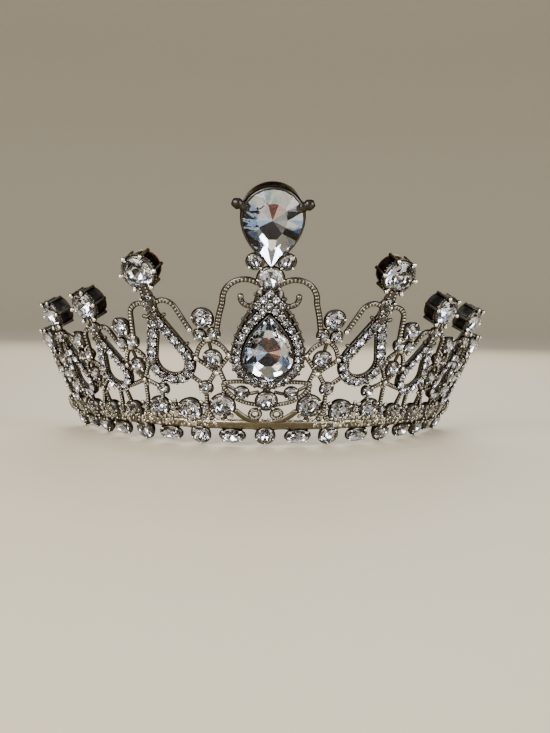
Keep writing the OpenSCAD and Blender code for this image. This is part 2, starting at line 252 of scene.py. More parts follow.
@dataclass(frozen=True)
class Drop:
    """A drop: its round end is about the origin and its tip above. A full one bows out."""

    radius: float
    tip: float
    full: bool = False

    def side(self, grow: float, steps: int) -> Outline:
        """Right side from the tip down to the round end, offset outward.

        Args:
            grow: offset.
            steps: number of points.

        Returns:
            Points of the side.
        """
        if self.full:
            t = np.linspace(1, 0, FULL_STEPS)
            normal = np.column_stack([np.full(FULL_STEPS, self.tip), 2 * self.radius * t])
            normal /= np.linalg.norm(normal, axis=1)[:, None]
            side = np.column_stack([self.radius * (1 - t * t), self.tip * t]) + grow * normal
            # the offset sides run on straight to where they meet
            side = side[side[:, 0] > 1e-6]
            slope = self.tip / (2 * self.radius)
            side = np.vstack([(0.0, side[0, 1] + side[0, 0] * slope), side])
        else:
            rise = math.asin(self.radius / self.tip)
            reach = self.radius + grow
            end = (reach * math.cos(rise), reach * math.sin(rise))
            side = np.array([(0.0, self.tip + grow / math.sin(rise)), end])
        length = np.linalg.norm(np.diff(side, axis=0), axis=1).sum()
        return spaced(side, length / steps)[0][: steps + 1]

    def outline(self, grow: float = 0.0, fine: int = 1) -> Outline:
        """Closed outline, clockwise from the tip.

        Args:
            grow: how far the whole outline is offset outward.
            fine: multiplies the number of points.

        Returns:
            Points of the outline.
        """
        right = self.side(grow, 8 * fine)
        rise = 0.0 if self.full else math.degrees(math.asin(self.radius / self.tip))
        bow = arc((0.0, 0.0), self.radius + grow, rise, -180 - rise, 24 * fine + 1)
        left = right[:0:-1] * (-1, 1)
        return np.vstack([right[:-1], bow, left[1:]])


def spaced(path: Outline, pitch: float, closed: bool = False) -> tuple[Outline, Outline]:
    """Spreads places evenly along a path.

    Args:
        path: points of the path.
        pitch: wanted distance between places, rounded to fit.
        closed: whether the path returns to its start.

    Returns:
        The places and the path's direction at each.
    """
    # how far to each side of a place its direction is measured
    near = 0.05
    loop = np.vstack([path, path[:1]]) if closed else path
    reach = np.concatenate([[0.0], np.cumsum(np.linalg.norm(np.diff(loop, axis=0), axis=1))])
    count = max(2, round(reach[-1] / pitch))
    marks = np.linspace(0, reach[-1], count + (not closed), endpoint=not closed)

    def along(distances: np.ndarray) -> Outline:
        """Places on the path at distances from its start."""
        return np.column_stack([np.interp(distances, reach, values) for values in loop.T])

    heading = along(np.minimum(marks + near, reach[-1])) - along(np.maximum(marks - near, 0))
    return along(marks), heading / np.linalg.norm(heading, axis=1)[:, None]


def depth_inside(outline: Outline, spot: np.ndarray) -> float:
    """Measures how far inside a closed outline a spot lies.

    Args:
        outline: points of the outline.
        spot: the spot.

    Returns:
        Its distance to the outline, negative outside it.
    """
    a, b = outline, np.roll(outline, -1, axis=0)
    edge = b - a
    along = np.clip(((spot - a) * edge).sum(1) / (edge**2).sum(1), 0, 1)
    gap = float(np.linalg.norm(spot - a - along[:, None] * edge, axis=1).min())
    crosses = (a[:, 1] > spot[1]) != (b[:, 1] > spot[1])
    level = np.where(crosses, edge[:, 1], 1.0)
    hits = crosses & (spot[0] < a[:, 0] + edge[:, 0] * (spot[1] - a[:, 1]) / level)
    return gap if hits.sum() % 2 else -gap


# Forms


@dataclass
class Form:
    """A small closed mesh. Wear runs from 0, dark in a recess, to 1, rubbed bright."""

    points: np.ndarray
    faces: list[tuple[int, ...]]
    wear: np.ndarray
    # colour of a painted reflection on each face, used by a stone's foil
    painted_reflections: list[Colour] | None = None
    finishes: list[int] | None = None
    smooth: bool = True

    def placed(self, place: Place) -> np.ndarray:
        """Its points in another place."""
        return self.points @ place[:3, :3].T + place[:3, 3]


def face_outward(mesh: bpy.types.Mesh) -> None:
    """Winds the faces of every closed form in a mesh outward.

    Args:
        mesh: the mesh.
    """
    work = bmesh.new()
    work.from_mesh(mesh)
    bmesh.ops.recalc_face_normals(work, faces=work.faces)
    work.to_mesh(mesh)
    work.free()


@dataclass
class Stock:
    """Forms gathered for one piece."""

    points: list[np.ndarray] = field(default_factory=list)
    faces: list[tuple[int, ...]] = field(default_factory=list)
    wear: list[np.ndarray] = field(default_factory=list)
    painted_reflections: list[Colour] = field(default_factory=list)
    finishes: list[int] = field(default_factory=list)
    smooth: list[bool] = field(default_factory=list)
    count: int = 0

    def add(self, form: Form, place: Place) -> None:
        """Adds a form at a place.

        Args:
            form: what to add.
            place: 4x4 place, which may mirror it.
        """
        flip = np.linalg.det(place[:3, :3]) < 0
        for face in form.faces:
            corners = tuple(self.count + k for k in face)
            self.faces.append(corners[::-1] if flip else corners)
        self.points.append(form.placed(place))
        self.wear.append(form.wear)
        self.painted_reflections.extend(form.painted_reflections or [WHITE] * len(form.faces))
        self.finishes.extend(form.finishes or [Cast.ANTIQUE.value] * len(form.faces))
        self.smooth.extend([form.smooth] * len(form.faces))
        self.count += len(form.points)

    def both(self, form: Form, place: Place) -> None:
        """Adds a form and its mirror image on the left half."""
        for half in HALVES.values():
            self.add(form, half @ place)

    def piece(self, name: str, slot: Slot, finishes: Materials) -> bpy.types.Object:
        """Makes the piece, riding on the part.

        Args:
            name: name of the piece.
            slot: kind of piece; a metal one has its faces wound outward.
            finishes: materials that the forms' finish numbers count.

        Returns:
            The new object.
        """
        mesh = bpy.data.meshes.new(name)
        mesh.from_pydata((np.vstack(self.points) * MM).tolist(), [], self.faces)
        for finish in finishes:
            mesh.materials.append(finish)
        mesh.polygons.foreach_set("material_index", self.finishes)
        mesh.polygons.foreach_set("use_smooth", self.smooth)
        wear = mesh.attributes.new("wear", "FLOAT", "POINT")
        wear.data.foreach_set("value", np.concatenate(self.wear))
        # painted reflections of the stones' foil facets, white on metal
        painted_reflection = mesh.attributes.new("painted_reflection", "FLOAT_COLOR", "CORNER")
        corners = [len(face) for face in self.faces]
        colours = np.column_stack([np.array(self.painted_reflections), np.ones(len(corners))])
        painted_reflection.data.foreach_set("color", np.repeat(colours, corners, axis=0).ravel())
        if slot is Slot.METAL:
            face_outward(mesh)
        mesh.update()
        thing = bpy.data.objects.new(name, mesh)
        bpy.context.scene.collection.objects.link(thing)
        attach(thing, BODY)
        LOG.info("%s: %d faces", name, len(self.faces))
        return thing


def set_stone(form: Form, place: Place, name: str, node: str, finishes: Materials) -> None:
    """Makes a piece of one stone, in the place of a node of the part.

    Args:
        form: the stone.
        place: place of its girdle's middle.
        name: name of the piece.
        node: the node that it replaces.
        finishes: its glass, then its foil.
    """
    stone = Stock()
    stone.add(form, place)
    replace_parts(stone.piece(name, Slot.CRYSTAL, finishes), node)


def skin(rings: int, sides: int, closed: bool = False) -> list[tuple[int, ...]]:
    """Lists the faces over rings of points, wound outward.

    Args:
        rings: number of rings.
        sides: points in each.
        closed: whether the last ring meets the first; if not, the ends are capped.

    Returns:
        Corners of each face.
    """
    faces = []
    for k in range(rings if closed else rings - 1):
        low, high = k * sides, (k + 1) % rings * sides
        for j in range(sides):
            after = (j + 1) % sides
            faces.append((low + j, low + after, high + after, high + j))
    if not closed:
        last = (rings - 1) * sides
        faces += [tuple(range(sides))[::-1], tuple(range(last, last + sides))]
    return faces


def ringed(rings: list[Ring], closed: bool = False) -> Form:
    """Skins outlines that are parallel to the xy plane.

    Args:
        rings: outline, height and wear of each ring, all with as many points.
        closed: whether the last ring meets the first; if not, the ends are capped.

    Returns:
        The closed form.
    """
    count = len(rings[0][0])
    points = np.vstack([np.column_stack([ring, np.full(count, z)]) for ring, z, _ in rings])
    wear = np.repeat([worn for _, _, worn in rings], count)
    return Form(points, skin(len(rings), count, closed), wear)


def lathe(profile: list[Corner], sides: int) -> Form:
    """Turns a profile about z, with a flat face over each end.

    Args:
        profile: radius, height and wear, from the bottom up the outside.
        sides: points round the axis.

    Returns:
        The closed form.
    """
    angles = np.linspace(0, 2 * math.pi, sides, endpoint=False)
    ring = np.column_stack([np.cos(angles), np.sin(angles)])
    return ringed([(ring * r, z, worn) for r, z, worn in profile])


def bead(diameter: float, sides: int, rows: int, rub: float = 0.9) -> Form:
    """Makes a small ball, rubbed bright where it faces out.

    Args:
        diameter: its diameter.
        sides: points round it.
        rows: bands of faces from pole to pole.
        rub: how bright its front is worn.

    Returns:
        The ball.
    """
    r = diameter / 2
    profile = []
    for a in np.radians(np.linspace(-90, 90, rows + 1)[1:-1]):
        z = r * math.sin(a)
        profile.append((r * math.cos(a), z, min(1.0, max(0.0, rub * (0.4 + z / r)))))
    return lathe(profile, sides)


def tube(
    path: Outline,
    radius: float | list[float],
    flat: float = 1.0,
    sides: int = 10,
    closed: bool = False,
) -> Form:
    """Runs a rod along a path.

    Args:
        path: points of the path.
        radius: one radius, or one for each point.
        flat: height of the section against its width.
        sides: points round the rod.
        closed: whether the rod is a ring.

    Returns:
        The rod, with rounded ends unless it is a ring.
    """
    spine = np.column_stack([path, np.zeros(len(path))])
    sizes = np.ones(len(spine)) * radius
    if closed:
        heading = np.roll(spine, -1, axis=0) - np.roll(spine, 1, axis=0)
    else:
        start, end = spine[0] - spine[1], spine[-1] - spine[-2]
        start, end = start / np.linalg.norm(start), end / np.linalg.norm(end)
        # size and reach of the rings that round an end, against the rod's radius
        caps = [(0.95, 0.3), (0.6, 0.8)]
        head = [spine[0] + start * sizes[0] * out for _, out in caps[::-1]]
        tail = [spine[-1] + end * sizes[-1] * out for _, out in caps]
        spine = np.vstack([head, spine, tail])
        first, last = [sizes[0] * s for s, _ in caps[::-1]], [sizes[-1] * s for s, _ in caps]
        sizes = np.concatenate([first, sizes, last])
        heading = np.gradient(spine, axis=0)
    heading /= np.linalg.norm(heading, axis=1)[:, None]
    across = np.cross(heading, [0.0, 0.0, 1.0])
    across /= np.linalg.norm(across, axis=1)[:, None]
    up = np.cross(across, heading)
    angles = np.linspace(0, 2 * math.pi, sides, endpoint=False)
    points, wear = [], []
    for spot, size, side, rise in zip(spine, sizes, across, up, strict=True):
        for a in angles:
            points.append(spot + size * (math.cos(a) * side + flat * math.sin(a) * rise))
            # rubbed a little in front, more behind and dark at the sides
            wear.append(max(0.12 + 0.22 * math.sin(a), -0.4 * math.sin(a)))
    return Form(np.array(points), skin(len(spine), sides, closed), np.array(wear))


def upright(length: float, radius: float) -> Form:
    """A claw: a round-ended rod along y from the origin."""
    return tube(np.array([[0.0, 0.0], [0.0, length / 2], [0.0, length]]), radius, sides=8)


def slab(outline: Outline, low: float, high: float) -> Form:
    """Makes a plate of a closed outline with softened edges, dark on its face.

    Args:
        outline: edge of the plate.
        low: height of its back.
        high: height of its front.

    Returns:
        The plate.
    """
    # width of the softened edge
    soft = 0.25
    centre = outline.mean(axis=0)
    size = np.abs(outline - centre).max()
    inner = centre + (outline - centre) * (1 - soft / size)
    edge = [(outline, low + soft, 0.3), (outline, high - soft, 0.45)]
    return ringed([(inner, low, BACK), *edge, (inner, high, 0.05)])


def drop_band(drop: Drop, section: list[Corner]) -> Form:
    """Makes a band round a drop-shaped opening.

    Args:
        drop: the opening.
        section: offset outward, height and wear of each corner of the band.

    Returns:
        The closed band.
    """
    return ringed([(drop.outline(grow), z, worn) for grow, z, worn in section], closed=True)


def by_bearing(outline: Outline, centre: Spot, count: int) -> Outline:
    """Finds points of a closed outline at even bearings from a centre.

    Args:
        outline: the outline.
        centre: a place inside it.
        count: number of points.

    Returns:
        The points.
    """
    fine = spaced(outline, 0.1, closed=True)[0] - centre
    bearing = np.arctan2(fine[:, 1], fine[:, 0])
    order = np.argsort(bearing)
    lengths = np.linalg.norm(fine, axis=1)[order]
    wanted = np.linspace(-math.pi, math.pi, count, endpoint=False)
    reach = np.interp(wanted, bearing[order], lengths, period=2 * math.pi)
    return np.column_stack([np.cos(wanted), np.sin(wanted)]) * reach[:, None] + centre


def ring_slab(outer: Outline, inner: Outline, centre: Spot, low: float, high: float) -> Form:
    """Makes a plate between two closed outlines.

    Args:
        outer: outer edge.
        inner: edge of its opening.
        centre: a place that both edges go round.
        low: height of its back.
        high: height of its front.

    Returns:
        The closed plate.
    """
    out, hole = (by_bearing(edge, centre, 120) for edge in (outer, inner))
    rings = [(out, low, BACK), (out, high, 0.3), (hole, high, 0.0), (hole, low, BACK)]
    return ringed(rings, closed=True)


# Stones

# crown and depth of a round stone against its width, and depth of a paved one
CROWN, DEPTH, PAVED_DEPTH = 0.17, 0.38, 0.34

# painted reflections: each foil facet is given one of these colours in place of what it would
# reflect, bright window and sky, grey and dark room, brown wood
ICE: Colour = (0.96, 0.98, 1.0)
SILVER: Colour = (0.78, 0.80, 0.84)
STEEL: Colour = (0.34, 0.37, 0.43)
SMOKE: Colour = (0.10, 0.095, 0.11)
INK: Colour = (0.025, 0.025, 0.03)
ROSE: Colour = (0.82, 0.62, 0.62)
BARK: Colour = (0.20, 0.10, 0.08)
SKY: Colour = (0.36, 0.52, 0.88)
PALE: Colour = (0.74, 0.87, 1.0)
LILAC: Colour = (0.70, 0.66, 0.82)

BRIGHT = (ICE, ICE, SILVER, LILAC, ICE)
GREY_REFLECTIONS = (SILVER, ICE, LILAC, STEEL)
SOFT = (ICE, SILVER, STEEL, ICE, SMOKE, SILVER)
RIM = (ICE, PALE, ICE, STEEL, ICE, SKY, ICE, INK)
MIXED = (ICE, SILVER, STEEL, ICE, SMOKE, LILAC, ICE, INK)


@dataclass(frozen=True)
class Stone:
    """A foil-backed stone. Its origin is in the plane of the girdle.

    A pear's facets centre above its round end, by a share of its width, and its
    smaller rings drift back from there.
    """

    width: float
    crown: float
    pavilion: float
    girdle: float = 0.4
    cut: Cut = Cut.ROUND
    tip: float = 0.0
    table: float = 0.6
    seed: int = 1
    # palettes of painted reflections: mains for the foil facets round the culet, edges for those
    # below the girdle
    mains: tuple[Colour, ...] = MIXED
    edges: tuple[Colour, ...] = BRIGHT
    centre_rise: float = 0.16
    centre_drift: float = 0.4

    def pear_reach(self, angles: np.ndarray, middle: np.ndarray) -> np.ndarray:
        """Measures from the facets' centre to a pear's edge.

        Args:
            angles: bearings from that centre.
            middle: the centre.

        Returns:
            The distance at each bearing.
        """
        outline = Drop(self.width / 2, self.tip, full=True).outline(fine=6) - middle
        bearing = np.unwrap(np.arctan2(outline[:, 1], outline[:, 0]))[::-1]
        reach = np.linalg.norm(outline, axis=1)[::-1]
        wrapped = bearing[0] + (angles - bearing[0]) % (2 * math.pi)
        bearing = np.append(bearing, bearing[0] + 2 * math.pi)
        return np.interp(wrapped, bearing, np.append(reach, reach[0]))

    def rim(
        self, share: float, height: float, offset: float = 0.0, halves: bool = False
    ) -> np.ndarray:
        """Places one ring of corners.

        Args:
            share: size of the ring against the girdle.
            height: height above the girdle's plane.
            offset: turn, in steps of a main facet.
            halves: whether there are two corners for each main facet.

        Returns:
            Points of the ring.
        """
        count = self.cut.value * (2 if halves else 1)
        turn = 2 * math.pi / self.cut.value * offset + math.pi / 2
        angles = turn + 2 * math.pi / count * np.arange(count)
        flat = np.column_stack([np.cos(angles), np.sin(angles)])
        if self.cut is Cut.PEAR:
            middle = np.array([0.0, self.centre_rise * self.width])
            flat = flat * self.pear_reach(angles, middle)[:, None] * share
            flat = flat + middle * (1 - self.centre_drift * (1 - share))
        else:
            flat = flat * share * self.width / 2
        return np.column_stack([flat, np.full(count, height)])

    def form(self) -> Form:
        """Builds the facets: clear glass above the girdle, mirror foil below it with a painted
        reflection colour on each facet.

        Returns:
            The stone, in which every facet has corners of its own.
        """
        n, half = self.cut.value, self.girdle / 2
        rings = [
            self.rim(self.table, self.crown),
            self.rim(0.5 + self.table / 2, self.crown * 0.55 + half * 0.45, 0.5),
            self.rim(1.0, half, halves=True),
            self.rim(1.0, -half, halves=True),
            self.rim(0.5, -self.pavilion * 0.62, 0.5),
            self.rim(0.0, -self.pavilion)[:1],
        ]
        top, mid, upper, lower, low, culet = np.cumsum([0] + [len(r) for r in rings[:-1]])
        pick = random.Random(self.seed)

        def drawn(palette: tuple[Colour, ...]) -> Colour:
            """Draws a painted reflection colour from a palette and darkens it a little at random.
            """
            shade = pick.uniform(0.85, 1.0)
            return tuple(c * shade for c in pick.choice(palette))

        facets = [(tuple(range(top, top + n)), Layer.GLASS, WHITE)]
        for i in range(n):
            before, after = (i - 1) % n, (i + 1) % n
            j, k, m = 2 * i, 2 * i + 1, (2 * i + 2) % (2 * n)
            # each facet with its palette; a foil facet's colour is a painted reflection
            fan = (
                ((top + i, mid + i, top + after), Layer.GLASS, BRIGHT),
                ((top + i, mid + before, upper + j, mid + i), Layer.GLASS, BRIGHT),
                ((mid + i, upper + j, upper + k), Layer.GLASS, BRIGHT),
                ((mid + i, upper + k, upper + m), Layer.GLASS, BRIGHT),
                ((upper + j, lower + j, lower + k, upper + k), Layer.FOIL, BRIGHT),
                ((upper + k, lower + k, lower + m, upper + m), Layer.FOIL, BRIGHT),
                ((low + i, lower + k, lower + j), Layer.FOIL, self.edges),
                ((low + i, lower + m, lower + k), Layer.FOIL, self.edges),
                ((low + i, lower + j, low + before), Layer.FOIL, self.edges),
            )
            facets += [(face, layer, drawn(palette)) for face, layer, palette in fan]
            main = self.mains[(i + self.seed) % len(self.mains)]
            facets.append(((culet, low + i, low + before), Layer.FOIL, main))
        faces, layers, painted_reflections = zip(*facets, strict=True)
        points = np.vstack(rings)
        loose = np.vstack([points[list(face)] for face in faces])
        starts = np.cumsum([0] + [len(face) for face in faces])
        split = [tuple(range(a, b)) for a, b in zip(starts, starts[1:], strict=False)]
        finishes = [layer.value for layer in layers]
        return Form(loose, split, np.zeros(len(loose)), list(painted_reflections), finishes, smooth=False)


# Tables of the pattern, right half

# height of a full-size point's stone above the middle of its loop
PEAK_RISE = 25.6


@dataclass(frozen=True)
class PointSpot:
    """A paved side point: place, turn, scale and the stone at its peak."""

    x: float
    y: float
    turn: float
    scale: float
    stone: float

    @property
    def peak(self) -> float:
        """Height of the peak's stone above the middle of the loop."""
        return PEAK_RISE * self.scale

    @property
    def neck(self) -> float:
        """Width of the stone on its neck."""
        return 3.5 * math.sqrt(self.scale)

    @property
    def neck_rise(self) -> float:
        """Height of that stone above the middle of the loop."""
        return min(17.4 * self.scale, self.peak - (self.stone + self.neck) / 2 - 0.95)


@dataclass(frozen=True)
class ValleySpot:
    """A stone between two points, over the lattice stone in its diamond."""

    x: float
    y: float
    turn: float
    stone: float
    drop: float
    lattice: float
    half_width: float
    top: float = -6.1

    @property
    def waist(self) -> float:
        """Height of the diamond's widest place, from the valley's stone."""
        return 0.3 - self.drop

    @property
    def foot(self) -> float:
        """Height of the diamond's lowest place, from the valley's stone."""
        return -self.drop - 4.6


POINTS = (
    PointSpot(25.8, 20.7, 18.4, 1.00, 8.2),
    PointSpot(43.6, 11.6, 26.5, 0.80, 7.6),
    PointSpot(58.8, 2.6, 30.5, 0.80, 7.2),
    PointSpot(69.0, -7.0, 31.5, 0.62, 6.4),
)
VALLEYS = (
    ValleySpot(16.9, 35.0, 12.7, 4.8, 11.8, 4.2, 4.6),
    ValleySpot(40.2, 27.6, 23.0, 4.4, 11.6, 3.6, 3.9),
    ValleySpot(57.0, 17.4, 28.0, 4.2, 10.8, 3.6, 3.9),
    ValleySpot(68.2, 4.6, 30.0, 4.2, 9.0, 3.6, 3.2),
)
# x, y and width of each stone, here and below
ROW_SPOTS = (
    (11.6, 9.2, 6.0),
    (20.7, 6.3, 6.0),
    (29.6, 5.4, 4.8),
    (38.5, 0.8, 4.8),
    (47.3, -3.2, 5.2),
    (56.1, -7.3, 4.8),
    (63.9, -11.2, 4.8),
    (71.4, -15.6, 4.6),
)
SMALL_SPOTS = ((3.9, 51.6, 3.7), (6.5, 13.7, 3.2), (16.1, 14.3, 3.2), (28.3, 11.4, 2.8))
# lattice wires: x, y, x, y, then how far short of each place they stop
LINKS = (
    (12.6, 20.2, 11.2, 16.6, 0, 0),
    (13.4, 19.6, 16.1, 14.3, 0, 2.1),
    (11.2, 16.6, 11.6, 9.2, 0, 3.6),
    (16.1, 14.3, 20.6, 17.4, 2.1, 0),
    (16.3, 14.3, 15.7, 7.0, 2.1, 0),
    (15.7, 7.0, 17.2, 2.6, 0, 0),
    (15.7, 7.0, 13.2, 2.4, 0, 0),
    (28.3, 15.6, 28.3, 11.4, 0, 1.9),
    (28.3, 11.4, 29.3, 5.4, 1.9, 2.9),
    (28.3, 11.4, 33.9, 12.7, 1.9, 0),
    (33.9, 12.7, 33.2, -0.8, 0, 0),
    (20.7, 6.3, 29.6, 5.4, 3.6, 2.9),
    (38.5, 0.8, 41.2, 7.3, 2.9, 0),
    (33.9, 12.7, 38.9, 9.0, 0, 0),
    (49.8, 3.8, 47.3, -3.2, 0, 3.1),
    (49.8, 3.8, 47.4, 7.8, 0, 0),
    (43.2, 7.0, 42.6, -3.4, 0, 0),
    (49.8, 3.8, 54.2, 3.0, 0, 0),
    (49.8, 3.8, 51.6, -7.0, 0, 0),
    (56.1, -7.3, 57.4, -2.0, 2.9, 0),
    (61.4, -7.2, 63.9, -11.2, 0, 2.9),
    (67.6, -10.2, 67.0, -15.2, 0, 0),
    (71.6, -9.9, 71.4, -15.6, 0, 2.8),
)
# distance of most girdles in front of the wall's middle
STONE_OUT = 0.9
# angle between neighbouring stones of the base row
BASE_PITCH = 8.79
BASE_SIDE_COUNT = 8


def curve_through(knots: list[Spot], steps: int) -> Outline:
    """Draws a smooth open curve through a few places.

    Args:
        knots: the places.
        steps: points from each place to the next.

    Returns:
        Points of the curve.
    """
    spots = np.array([knots[0], *knots, knots[-1]], float)
    bits = []
    for k in range(1, len(spots) - 2):
        a, b, c, d = spots[k - 1 : k + 3]
        slope, bow, twist = c - a, 2 * a - 5 * b + 4 * c - d, 3 * b - a - 3 * c + d
        for t in np.linspace(0, 1, steps, endpoint=False):
            bits.append(0.5 * (2 * b + slope * t + bow * t * t + twist * t**3))
    return np.vstack([bits, spots[-1:]])


# Finishes


@dataclass
class Graph:
    """A material's nodes while it is being wired."""

    material: bpy.types.Material

    @classmethod
    def start(cls, name: str) -> "Graph":
        """Begins a material without any nodes.

        Args:
            name: name of the material.

        Returns:
            Its graph.
        """
        material = bpy.data.materials.new(name)
        material.use_nodes = True
        material.node_tree.nodes.clear()
        return cls(material)

    def node(self, kind: str, **inputs: object) -> bpy.types.Node:
        """Adds a node.

        Args:
            kind: type of the node.
            inputs: values or sockets for its inputs, by name with underscores.

        Returns:
            The node.
        """
        made = self.material.node_tree.nodes.new(kind)
        for name, value in inputs.items():
            self.feed(made.inputs[name.replace("_", " ")], value)
        return made

    def feed(self, socket: bpy.types.NodeSocket, value: object) -> None:
        """Links a socket into an input, or sets its value.

        Args:
            socket: the input.
            value: a socket, number or colour.
        """
        if isinstance(value, bpy.types.NodeSocket):
            self.material.node_tree.links.new(value, socket)
        else:
            socket.default_value = value

    def sum(self, first: object, second: object) -> bpy.types.NodeSocket:
        """Adds two numbers and keeps the result from 0 to 1.

        Args:
            first: socket or number.
            second: socket or number.

        Returns:
            The result's socket.
        """
        made = self.node("ShaderNodeMath")
        made.operation, made.use_clamp = "ADD", True
        self.feed(made.inputs[0], first)
        self.feed(made.inputs[1], second)
        return made.outputs[0]

    def noise(self, scale: float, detail: float = 3.0) -> bpy.types.NodeSocket:
        """Noise over the object, its scale in features a metre."""
        spot = self.node("ShaderNodeTexCoord").outputs["Object"]
        return self.node("ShaderNodeTexNoise", Vector=spot, Scale=scale, Detail=detail).outputs[0]

    def ramp(
        self, value: bpy.types.NodeSocket, stops: list[tuple[float, Colour]]
    ) -> bpy.types.NodeSocket:
        """Colours a number from 0 to 1.

        Args:
            value: socket of the number.
            stops: numbers and their colours, in rising order.

        Returns:
            The colour's socket.
        """
        made = self.node("ShaderNodeValToRGB", Fac=value)
        for at, colour in stops[1:-1]:
            made.color_ramp.elements.new(at).color = (*colour, 1.0)
        for end, (at, colour) in ((0, stops[0]), (-1, stops[-1])):
            made.color_ramp.elements[end].position = at
            made.color_ramp.elements[end].color = (*colour, 1.0)
        return made.outputs["Color"]

    def spread(self, value: bpy.types.NodeSocket, low: float, high: float) -> bpy.types.NodeSocket:
        """Stretches a number from 0..1 to low..high."""
        made = self.node("ShaderNodeMapRange", Value=value, To_Min=low, To_Max=high)
        return made.outputs["Result"]

    def bump(
        self, height: bpy.types.NodeSocket, depth: float, strength: float = 0.6
    ) -> bpy.types.NodeSocket:
        """A bump of a real depth in metres."""
        made = self.node("ShaderNodeBump", Height=height, Distance=depth, Strength=strength)
        return made.outputs["Normal"]

    def finish(self, **inputs: object) -> bpy.types.Material:
        """Closes the material with the main shader.

        Args:
            inputs: values or sockets for the shader, by name with underscores.

        Returns:
            The material.
        """
        shader = self.node("ShaderNodeBsdfPrincipled", **inputs)
        self.node("ShaderNodeOutputMaterial", Surface=shader.outputs["BSDF"])
        return self.material


@dataclass(frozen=True)
class AgedMetal:
    """Cast white metal, blackened in its recesses and rubbed on its high places."""

    name: str
    dark: Colour
    middle: Colour
    bright: Colour
    smooth: float = 0.15
    dull: float = 0.27
    patches: float = 700.0
    grain: float = 3800.0
    unevenness: float = 0.3
    glancing: Colour = (0.3, 0.28, 0.25)

    def material(self) -> bpy.types.Material:
        """Wires the finish.

        Returns:
            The material.
        """
        graph = Graph.start(self.name)
        wear = graph.node("ShaderNodeAttribute")
        wear.attribute_name = "wear"
        patches, grain = graph.noise(self.patches), graph.noise(self.grain)
        uneven = graph.spread(patches, -self.unevenness / 2, self.unevenness / 2)
        worn = graph.sum(wear.outputs["Fac"], uneven)
        shine = graph.spread(worn, self.dull, self.smooth)
        stops = [(0.0, self.dark), (0.42, self.middle), (0.95, self.bright)]
        return graph.finish(
            Base_Color=graph.ramp(worn, stops),
            Metallic=1.0,
            Roughness=graph.sum(shine, graph.spread(grain, -0.06, 0.1)),
            Normal=graph.bump(graph.sum(grain, graph.spread(patches, -0.2, 0.5)), 0.00006),
            Specular_Tint=(*self.glancing, 1.0),
        )


@dataclass(frozen=True)
class Foil:
    """Mirror foil behind a stone, slightly crinkled, with a painted reflection colour on each
    facet.
    """

    name: str = "mirror_foil_painted_reflections"

    def material(self) -> bpy.types.Material:
        """Wires the finish.

        Returns:
            The material.
        """
        graph = Graph.start(self.name)
        # each facet's painted reflection colour, mottled a little
        painted_reflection = graph.node("ShaderNodeAttribute")
        painted_reflection.attribute_name = "painted_reflection"
        mottle = graph.noise(900.0, 2.0)
        mix = graph.node("ShaderNodeMix")
        mix.data_type, mix.blend_type = "RGBA", "MULTIPLY"
        mix.inputs[0].default_value = 0.35
        graph.feed(mix.inputs[6], painted_reflection.outputs["Color"])
        cloud = graph.ramp(mottle, [(0.3, (0.55, 0.6, 0.72)), (0.7, WHITE)])
        graph.feed(mix.inputs[7], cloud)
        return graph.finish(
            Base_Color=mix.outputs[2],
            Metallic=1.0,
            Roughness=graph.spread(mottle, 0.0, 0.05),
            Normal=graph.bump(mottle, 0.00003, 0.3),
        )


@dataclass(frozen=True)
class ClearCrystal:
    """Clear cut glass with fine wipe marks."""

    name: str = "clear_crystal"
    index: float = 1.56

    def material(self) -> bpy.types.Material:
        """Wires the finish.

        Returns:
            The material.
        """
        graph = Graph.start(self.name)
        marks = graph.noise(1400.0, 4.0)
        return graph.finish(
            Base_Color=graph.ramp(marks, [(0.35, (0.93, 0.95, 0.985)), (0.65, (0.985, 0.99, 1.0))]),
            Roughness=graph.spread(marks, 0.0, 0.03),
            IOR=self.index,
            Transmission_Weight=1.0,
        )


@dataclass(frozen=True)
class PaleSweep:
    """Matt paper of the studio floor."""

    name: str = "pale_sweep"
    colour: Colour = (0.5, 0.425, 0.3)

    def material(self) -> bpy.types.Material:
        """Wires the finish.

        Returns:
            The material.
        """
        graph = Graph.start(self.name)
        fibre = graph.noise(160.0, 4.0)
        low = tuple(c * 0.97 for c in self.colour)
        return graph.finish(
            Base_Color=graph.ramp(fibre, [(0.3, low), (0.7, self.colour)]),
            Roughness=graph.spread(fibre, 0.6, 0.75),
            Normal=graph.bump(fibre, 0.0001, 0.2),
        )


CASTING = AgedMetal(
    "antique_casting",
    dark=(0.016, 0.014, 0.012),
    middle=(0.11, 0.10, 0.085),
    bright=(0.84, 0.79, 0.69),
)
WARM_BAND = AgedMetal(
    "warm_band",
    dark=(0.04, 0.034, 0.024),
    middle=(0.15, 0.13, 0.088),
    bright=(0.46, 0.41, 0.3),
    smooth=0.2,
    dull=0.32,
    patches=420.0,
)


@dataclass
class Finishes:
    """Every finish of the tiara, made once.

    Metal pieces take theirs in the order of Cast, and stones in that of Layer. The
    shallow pears have a softer glass.
    """

    metal: Materials
    stone: Materials
    pear: Materials

    @classmethod
    def make(cls) -> "Finishes":
        """Makes the finishes.

        Returns:
            The finishes.
        """
        metal = [CASTING.material(), WARM_BAND.material()]
        crystal, soft = ClearCrystal().material(), ClearCrystal("soft_crystal", 1.3).material()
        foil = Foil().material()
        return cls(metal, [crystal, foil], [soft, foil])


# Settings


